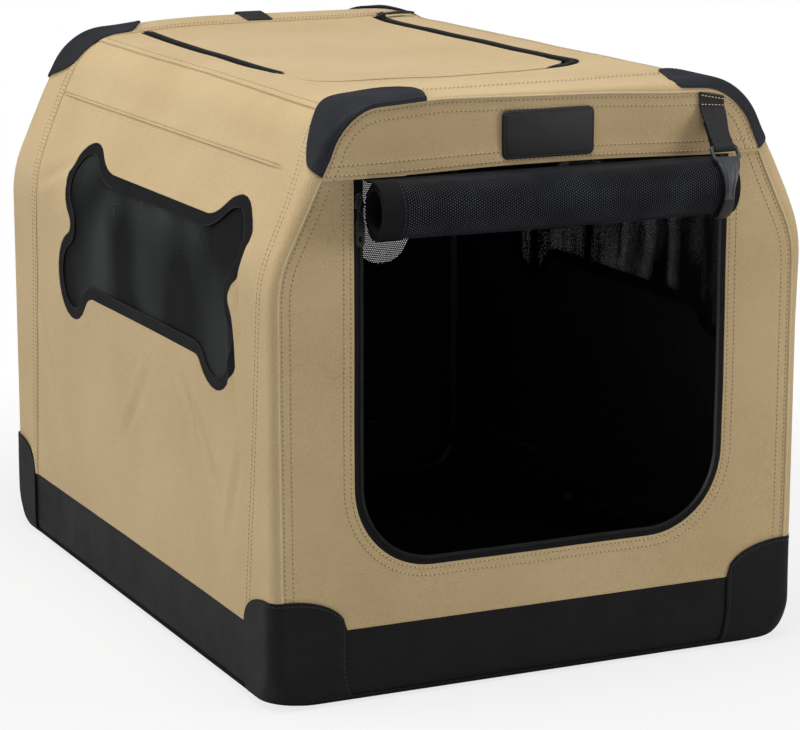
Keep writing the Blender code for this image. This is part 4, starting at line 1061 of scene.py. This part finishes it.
# Dark patches over the top corners, and the strap over the rear edge. An outline says how far round
# from the roof's middle and how far behind the end each point lies, in millimetres
patchLift = 0.0021
patchOutlines = {
    "front_left": [(247.5, 0), (244, 8.5), (231, 24), (216, 35.5), (199, 52.5), (188, 65), (174, 77.5),
                   (159, 79), (124, 74), (97, 64), (96.5, 50), (114.6, 0)],
    "front_right": [(248.5, 0), (245, 9), (234.5, 25), (219, 37), (202, 51), (189, 60.5), (173, 71),
                    (159, 75), (147, 70), (137.5, 40), (121.5, -1), (150, -2.5), (170, -4), (190, -6),
                    (200, 0)],
    "rear_left": [(242, 0), (240, 4), (234, 22), (226, 42), (220, 54), (212, 60), (149, 60), (140, 54),
                  (108.5, 0)],
    "rear_right": [(246, 0), (243, 4), (236, 22), (227, 42), (221, 54), (213, 60), (183, 60), (168, 44),
                   (153, 22), (135, 10), (112, 0)]}
for (end, label, body), (side, hand) in product(bothEnds, bothSides):
    wrap, outline = overHoop(end), patchOutlines[f"{label}_{hand}"]
    line = [(side * s / 1000, back and hoopRun(side * s / 1000, end, back / 1000)) for s, back in outline]
    for turn in range(2):  # corners cut off twice, so that they are round
        cut = [(a[0] + (b[0] - a[0]) * share, a[1] + (b[1] - a[1]) * share)
               for a, b in zip(line, line[1:]) for share in (0.25, 0.75)]
        line = line[:1] + cut + line[-1:]
    flat = line[::-side]
    across, deep = [s for s, t in flat], [t for s, t in flat]
    swell = lambda s, t: 0.0007 * over(t, 0.004, 0.02) * over(max(deep) - t, 0, 0.012)
    sew(f"{label}{hand.capitalize()}Patch", (min(across), max(across)), (0.0, max(deep) + 0.0001), wrap,
        body, [patchCloth], cell=(0.004, 0.0022), thick=0.0015, low=patchLift, keep=flat, lift=swell,
        stands=[f"{label}_{hand}_patch"])
    middle = Vector((sum(across) / len(flat), sum(deep) / len(flat)))
    line = [tuple(Vector(spot) + (middle - Vector(spot)).normalized() * 0.0038) for spot in flat + flat[:1]]
    stitchRow(darkFront if end < 0 else darkBack, lambda s, t, w: wrap(s, t, w + swell(s, t)), line,
              w=patchLift, pitch=0.0038)


def overTie(s, t, w):  # the strap leans to the left behind the edge
    return overHoop(1)(s - 0.0077 * max(0.0, t) / 0.062, t, w)


tie = sew("tieStrap", (-0.0065, 0.0205), (-0.0590, 0.0620), overTie, "crate", [webbing], cell=0.0030,
          thick=0.0015, low=0.0030, stands=["tie_strap"])
print("scene: patches made")


# Things that bend along a line of (y, z) points: l metres along it, x across, w off it
def overPath(path, side=1):
    lengths = lengthsOf(path)

    @cache
    def at(l):
        spot = min(max(bisect.bisect_right(lengths, l) - 1, 0), len(path) - 2)
        share = (l - lengths[spot]) / (lengths[spot + 1] - lengths[spot])
        ways = []
        for i in (spot, spot + 1):
            before, after = path[max(i - 1, 0)], path[min(i + 1, len(path) - 1)]
            length = dist(before, after)
            ways.append(((after[0] - before[0]) / length, (after[1] - before[1]) / length))
        (y0, z0), (y1, z1) = path[spot], path[spot + 1]
        wayY, wayZ = (ways[0][i] + (ways[1][i] - ways[0][i]) * min(1.0, max(0.0, share)) for i in (0, 1))
        return y0 + (y1 - y0) * share, z0 + (z1 - z0) * share, -side * wayZ, side * wayY

    def wrap(l, x, w):
        y, z, outY, outZ = at(l)
        return Vector((x, y + outY * w, z + outZ * w))
    return wrap, lengths[-1]


def moulded(outline, thick, low, bevel, hole=None, slices=()):  # a flat part with rounded edges
    bm = prism(outline, thick, low)
    if hole:
        bm = trim(bm, None, hole)
    sharp = [e for e in bm.edges if len(e.link_faces) == 2 and e.calc_face_angle() > 1.1]
    bmesh.ops.bevel(bm, geom=sharp, offset=bevel, offset_type="OFFSET", segments=2, profile=0.5,
                    affect="EDGES", clamp_overlap=True, material=-1)
    for place in slices:
        bmesh.ops.bisect_plane(bm, geom=bm.verts[:] + bm.edges[:] + bm.faces[:], plane_co=(place, 0, 0),
                               plane_no=(1, 0, 0))
    return bm


# Rolled-up door, pressed into an oval
roll = Sizes(left=-0.172, right=0.168, axis=(-0.3675, 0.4305), outer=0.0243, core=0.0185, press=0.7755,
             turns=3.6, cloth=0.0011, binding=0.022, endBand=0.012)
rollY, rollZ = roll.axis
spiral = []
for i in range(241):
    turn = radians(90 + 360 * roll.turns * (1 - i / 240))
    radius = roll.core + (roll.outer - roll.core) * i / 240
    spiral.append((rollY + radius * roll.press * cos(turn), rollZ + radius * sin(turn)))
spiralRun = lengthsOf(spiral)[-1]
leftBand, rightBand = roll.left + roll.binding, roll.right - roll.endBand
rollPath, rollRun = overPath(spiral + [(-0.3456, spiral[-1][1])])


def overRoll(l, x, w):  # the roll hangs a little and its cloth is slack
    slack = 0.0007 * noise.noise(Vector((x * 13, l * 8, 2.0))) * over(spiralRun - l, 0, 0.02)
    place = rollPath(l, x, w + slack)
    place.z -= 0.0013 * (1 - ((x + 0.002) / 0.172) ** 2) * (1 - over(l - spiralRun, 0, 0.02))
    return place


rolled = grid((0.0, rollRun), (roll.left, roll.right), (0.0032, 0.005), roll.cloth)
for face in rolled.faces:
    face.material_index = int(not leftBand <= face.calc_center_median().y <= rightBand)
obj = piece("rolledDoor", lay(rolled, overRoll), "front_end", [rolledNetting, bindingTape],
            stands=["rolled_door"], sharp=60)
bands = [lay(grid((spiralRun - 0.137, spiralRun + 0.010), span, (0.0032, 0.005), 0.0005, 0.0006), overRoll)
         for span in ((roll.left - 0.0004, leftBand), (rightBand, roll.right + 0.0004))]
piece("rolledDoorBinding", joined(bands), "front_end", [bindingTape])
for x in (leftBand - 0.0025, rightBand + 0.0025):
    stitchRow(darkFront, overRoll, [(spiralRun - 0.135, x), (spiralRun + 0.008, x)], w=0.0006, pitch=0.0038)
print("scene: rolled door made")


# Webbing strap that is sewn to the header and holds the hook
strap = Sizes(middle=0.1612, half=0.0122, thick=0.0015, slope=0.20, narrow=0.18, lean=0.0016)
bar = (-0.371, 0.4645)
strapPath, strapRun = overPath([(-0.3462, 0.5090), (-0.3464, 0.5030), (-0.3468, 0.4985), (-0.3480, 0.4955)]
                               + arc(bar, 0.0024, 55, 312, 14)
                               + [(-0.3672, 0.4660), (-0.3610, 0.4755), (-0.3542, 0.4855)], -1)


def overStrap(l, x, w):
    place = strapPath(l, x, w + 0.0002 * sin(l * 300) * over(l, 0.01, 0.02))
    place.z -= strap.slope * (x - strap.middle) * (1 - over(l, 0.002, 0.016))
    near = over(l, 0.012, 0.042)
    place.x -= (x - strap.middle) * strap.narrow * near + strap.lean * near
    return place


across = (strap.middle - strap.half, strap.middle + strap.half)
woven = grid((0.0, strapRun), across, (0.0016, 0.0024), strap.thick, strap.thick)
obj = piece("hookStrap", lay(woven, overStrap), "front_end", [webbing], stands=["hook_strap"])
for l in (0.0028, 0.0098):
    stitchRow(frontStitches, overStrap, [(l, across[0] + 0.0012), (l, across[1] - 0.0012)], w=strap.thick,
              pitch=0.0034, length=0.0024)
print("scene: strap made")


# Plastic hook that swings on the strap and curls round the roll
hook = Sizes(half=0.0137, thick=0.0034, centre=0.1597, drift=0.0036, curl=(0.0220, 0.0270),
             widths=[(0.0125, 0.0112), (0.018, 0.0102), (0.028, 0.0070), (0.038, 0.0046), (0.045, 0.0042),
                     (0.052, 0.0052), (0.060, 0.0060), (0.069, 0.0060), (0.0725, 0.0052), (0.0745, 0.0030)])
curl = [(rollY + hook.curl[0] * y, rollZ + hook.curl[1] * z) for y, z in arc((0, 0), 1.0, 128, 262, 40)]
hookPath = overPath([bar] + curl)[0]


def overHook(l, x, w):  # it drifts to the left on its way down
    return hookPath(l, hook.centre - hook.drift * over(l, 0.014, 0.042) + x, -w)


right = [(-0.0021, hook.half - 0.0030), (-0.0014, hook.half - 0.0009), (0.0008, hook.half),
         (0.0100, hook.half), (0.0124, hook.half - 0.0016)] + hook.widths
outline = [(l, -x) for l, x in right[::-1]] + right
slit = block((0.0020, -0.0113), (0.0092, 0.0113), (0.0012,) * 4, 4)
body = moulded(outline, hook.thick, -hook.thick / 2, 0.0008, slit, [0.0125 + 0.0016 * i for i in range(39)])
# Past 47 mm along the hook, its lower curl takes the darker plastic, so the hook is darker towards its tip
for face in body.faces:
    face.material_index = int(face.calc_center_median().x > 0.047)
spine = [0.0135 + 0.0015 * i for i in range(22)]
ribs = [tube(overHook, [(l, part * readOff(l, hook.widths) * 0.55) for l in spine], 0.0008, hook.thick / 2)
        for part in (-1, 1)]
barTube = tube(lambda x, l, w: Vector((hook.centre + x, *bar)) + Vector((0, 0, w)),
               [(x, 0) for x in spaced(-0.0122, 0.0122, 8)], 0.0021, sides=14)
piece("rollHook", joined([lay(body, overHook), *ribs, barTube]), "hook", [hookPlastic, darkPlastic],
      stands=["roll_hook"], sharp=50)
print("scene: hook made")


# Bare plate on the header
plate = Sizes(half=0.044, low=0.4635, high=0.5055, corner=0.006, thick=0.0034, off=0.0004)


def plateLine(inset, radius):
    half = plate.half - inset
    return block((-half, plate.low + inset), (half, plate.high - inset), (radius,) * 4)


def onFace(x, z, w):
    return Vector((x, -endFace - w, z))


slab = moulded(plateLine(0, plate.corner), plate.thick, plate.off, 0.0010)
panel = moulded(plateLine(0.0030, 0.0042), 0.0006, plate.thick + plate.off / 2, 0.0003)
piece("blankPlate", joined([lay(slab, onFace), lay(panel, onFace)]), "front_end", [plateRubber],
      stands=["blank_plate"], sharp=50)
rimLine = plateLine(0.0015, plate.corner - 0.0015)
stitchRow(darkFront, onFace, rimLine + rimLine[:1], w=plate.thick + plate.off, pitch=0.0030, length=0.0021)
print("scene: plate made")


# Zipper sliders and their pulls, made flat with the pull's way first, then set on the cloth
slider = Sizes(half=0.0065, wide=0.0043, waist=0.0029, plate=0.0012)
pull = Sizes(long=0.030, half=0.0040, thick=0.0018, low=0.0022)


def boss(near, far, half, radius, thick, low, bevel):  # a small block, as wide to both sides
    return moulded(block((near, -half), (far, half), (radius,) * 4, 3), thick, low, bevel)


def sliderBody(alongPull):
    half, wide, waist = slider.half, slider.wide, slider.waist
    sideLine = [(-half, wide * 0.55), (-half * 0.86, wide), (-half * 0.2, wide * 0.97), (half * 0.3, waist),
                (half * 0.8, waist * 0.95), (half, waist * 0.6)]
    turn = (lambda a, b: (a, b)) if alongPull else (lambda a, b: (b, a))
    outline = [turn(-a, b) for a, b in sideLine] + [turn(-a, -b) for a, b in sideLine[::-1]]
    plates = [moulded(outline, slider.plate, low, 0.0004) for low in (-0.0006, 0.0016)]
    post = boss(-0.0013, 0.0013, 0.0013, 0.0006, 0.0016, 0.0004, 0.0001)
    bridge = [(*turn(0.0042 * a, 0.0), 0.0026 + 0.0014 * up) for a, up in arc((0, 0), 1.0, 0, 180)]
    arch = tube(lambda i, _, w: Vector(bridge[round(i)]) + Vector((0, 0, w)),
                [(i, 0) for i in range(len(bridge))], 0.0006)
    reach = half if alongPull else wide
    lug = boss(reach - 0.0030, reach + 0.0024, 0.0013, 0.0008, 0.0016, 0.0020, 0.0004)
    return joined([*plates, post, arch, lug])


def pullTab():
    half, long = pull.half, pull.long
    sideLine = [(-0.0009, 0.0018), (-0.0009, 0.0030), (0.0060, 0.0029), (0.0100, half)]
    outline = ([(a, -b) for a, b in sideLine[1::-1]] + [(0.0018, -0.0018), (0.0018, 0.0018)] + sideLine
               + arc((long - half, 0), half, 90, -90, 12) + [(a, -b) for a, b in sideLine[:1:-1]])
    hole = block((long - 0.0095, -0.0015), (long - 0.0042, 0.0015), (0.0014,) * 4, 5)
    tab = moulded(outline[::-1], pull.thick, pull.low, 0.0004, hole)
    grips = [boss(a - 0.0005, a + 0.0005, 0.0026, 0.0004, 0.0007, pull.low + pull.thick - 0.0003, 0.0002)
             for a in (0.0095, 0.0120, 0.0145, 0.0170)]
    return joined([tab, *grips])


onRoof = lambda a, b, w: overShell(0.1361 + a, 0.2695 + b, w + 0.0012)
onDoor = lambda a, b, w: Vector((-0.1767 - b, -endFace - 0.0004 - w, 0.4289 - a))
for label, wrap, alongPull, back, rise in (("roof", onRoof, False, 0.0063, 0.0008),
                                           ("door", onDoor, True, 0.0081, -0.0002)):
    body = sliderBody(alongPull)
    bmesh.ops.translate(body, vec=(-back, 0, rise), verts=body.verts)
    piece(label + "Slider", lay(body, wrap), label + "_zip", [sliderMetal], stands=[label + "_slider"],
          sharp=45)
    piece(label + "Pull", lay(pullTab(), wrap), label + "_tab", [darkPlastic], stands=[label + "_pull"],
          sharp=45)
print("scene: sliders made")


# Stitching, one piece for each body that it travels with, and the painted needle-hole shade with it
for name, rows, body, paint, squashed in (
        ("frontStitching", frontStitches, "front_end", tanThread, False),
        ("frontNeedleHoleShade", frontHoleShade, "front_end", needleHoleShade, False),
        ("rearNeedleHoleShade", backHoleShade, "crate", needleHoleShade, False),
        ("wallNeedleHoleShade", wallHoleShade, "crate", softHoleShade, True),
        ("sleeveNeedleHoleShade", hemHoleShade, "front_end", softHoleShade, False),
        ("rearStitching", backStitches, "crate", tanThread, False),
        ("wallStitching", wallStitches, "crate", tanThread, True),
        ("roofDoorStitching", flapStitches, "roof_door", tanThread, True),
        ("frontDarkStitching", darkFront, "front_end", darkThread, False),
        ("rearDarkStitching", darkBack, "crate", darkThread, False),
        ("windowStitching", darkWall, "crate", darkThread, True)):
    piece(name, rows, body, [paint], squashed=squashed)
print("scene: stitching made")


# Finishes of the steel frame and its fittings
for name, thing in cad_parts.items():
    steel = any(word in name for word in ("knuckle_pin", "strut", "hoop"))
    thing.data.materials.clear()
    thing.data.materials.append(coatedSteel if steel else buttonPlastic if "button" in name else darkPlastic)


# Pale floor that fades into the white background, and soft studio light
studio = Sizes(floor=6.0, world=0.26, key=56.0, left=26.5, right=10.5)
world = bpy.data.worlds.new("studio")
world.use_nodes = True
bpy.context.scene.world = world
tree = world.node_tree
sky = tree.nodes["Background"]
sky.inputs["Color"].default_value = (1, 1, 1, 1)
lightPath, pick = tree.nodes.new("ShaderNodeLightPath"), tree.nodes.new("ShaderNodeMix")
pick.inputs[2].default_value, pick.inputs[3].default_value = studio.world, 1.0
tree.links.new(lightPath.outputs["Is Camera Ray"], pick.inputs[0])
tree.links.new(pick.outputs[0], sky.inputs["Strength"])

bm = bmesh.new()
bmesh.ops.create_circle(bm, cap_ends=True, segments=96, radius=studio.floor)
floorBoard = added("paleFloor", meshOf(bm, "paleFloor"))
paint = Paint("paleFloor", (0.6, 0.6, 0.6), 0.8)
spot = paint.node("ShaderNodeVectorMath", {"operation": "LENGTH"}, [paint.place()], output=1)
far = paint.node("ShaderNodeMapRange", {"interpolation_type": "SMOOTHSTEP"}, [spot, 0.45, 1.1])
seen = paint.node("ShaderNodeLightPath", output="Is Camera Ray")
white = paint.node("ShaderNodeEmission", values=[(1, 1, 1, 1), 1.0])
both = paint.node("ShaderNodeMixShader", values=[(far * 0.22 + 0.78) * seen])
paint.feed(both.socket.node.inputs[1], Wire(paint, paint.shader.outputs[0]))
paint.feed(both.socket.node.inputs[2], white)
paint.tree.links.new(both.socket, paint.tree.nodes["Material Output"].inputs["Surface"])
floorBoard.data.materials.append(paint.material)


def lamp(name, place, aim, size, power):
    data = bpy.data.lights.new(name, "AREA")
    data.shape, data.size, data.energy = "DISK", size, power
    obj = added(name, data)
    obj.location = place
    obj.rotation_euler = (Vector(aim) - Vector(place)).to_track_quat("-Z", "Y").to_euler()


lamp("key", (-0.35, -0.6, 2.8), (0, 0, 0.3), 1.5, studio.key)
lamp("left", (-2.3, 0.55, 1.3), (0, 0, 0.3), 1.4, studio.left)
lamp("right", (1.35, -1.35, 0.7), (0.1, -0.3, 0.3), 0.8, studio.right)
print("scene: studio made")
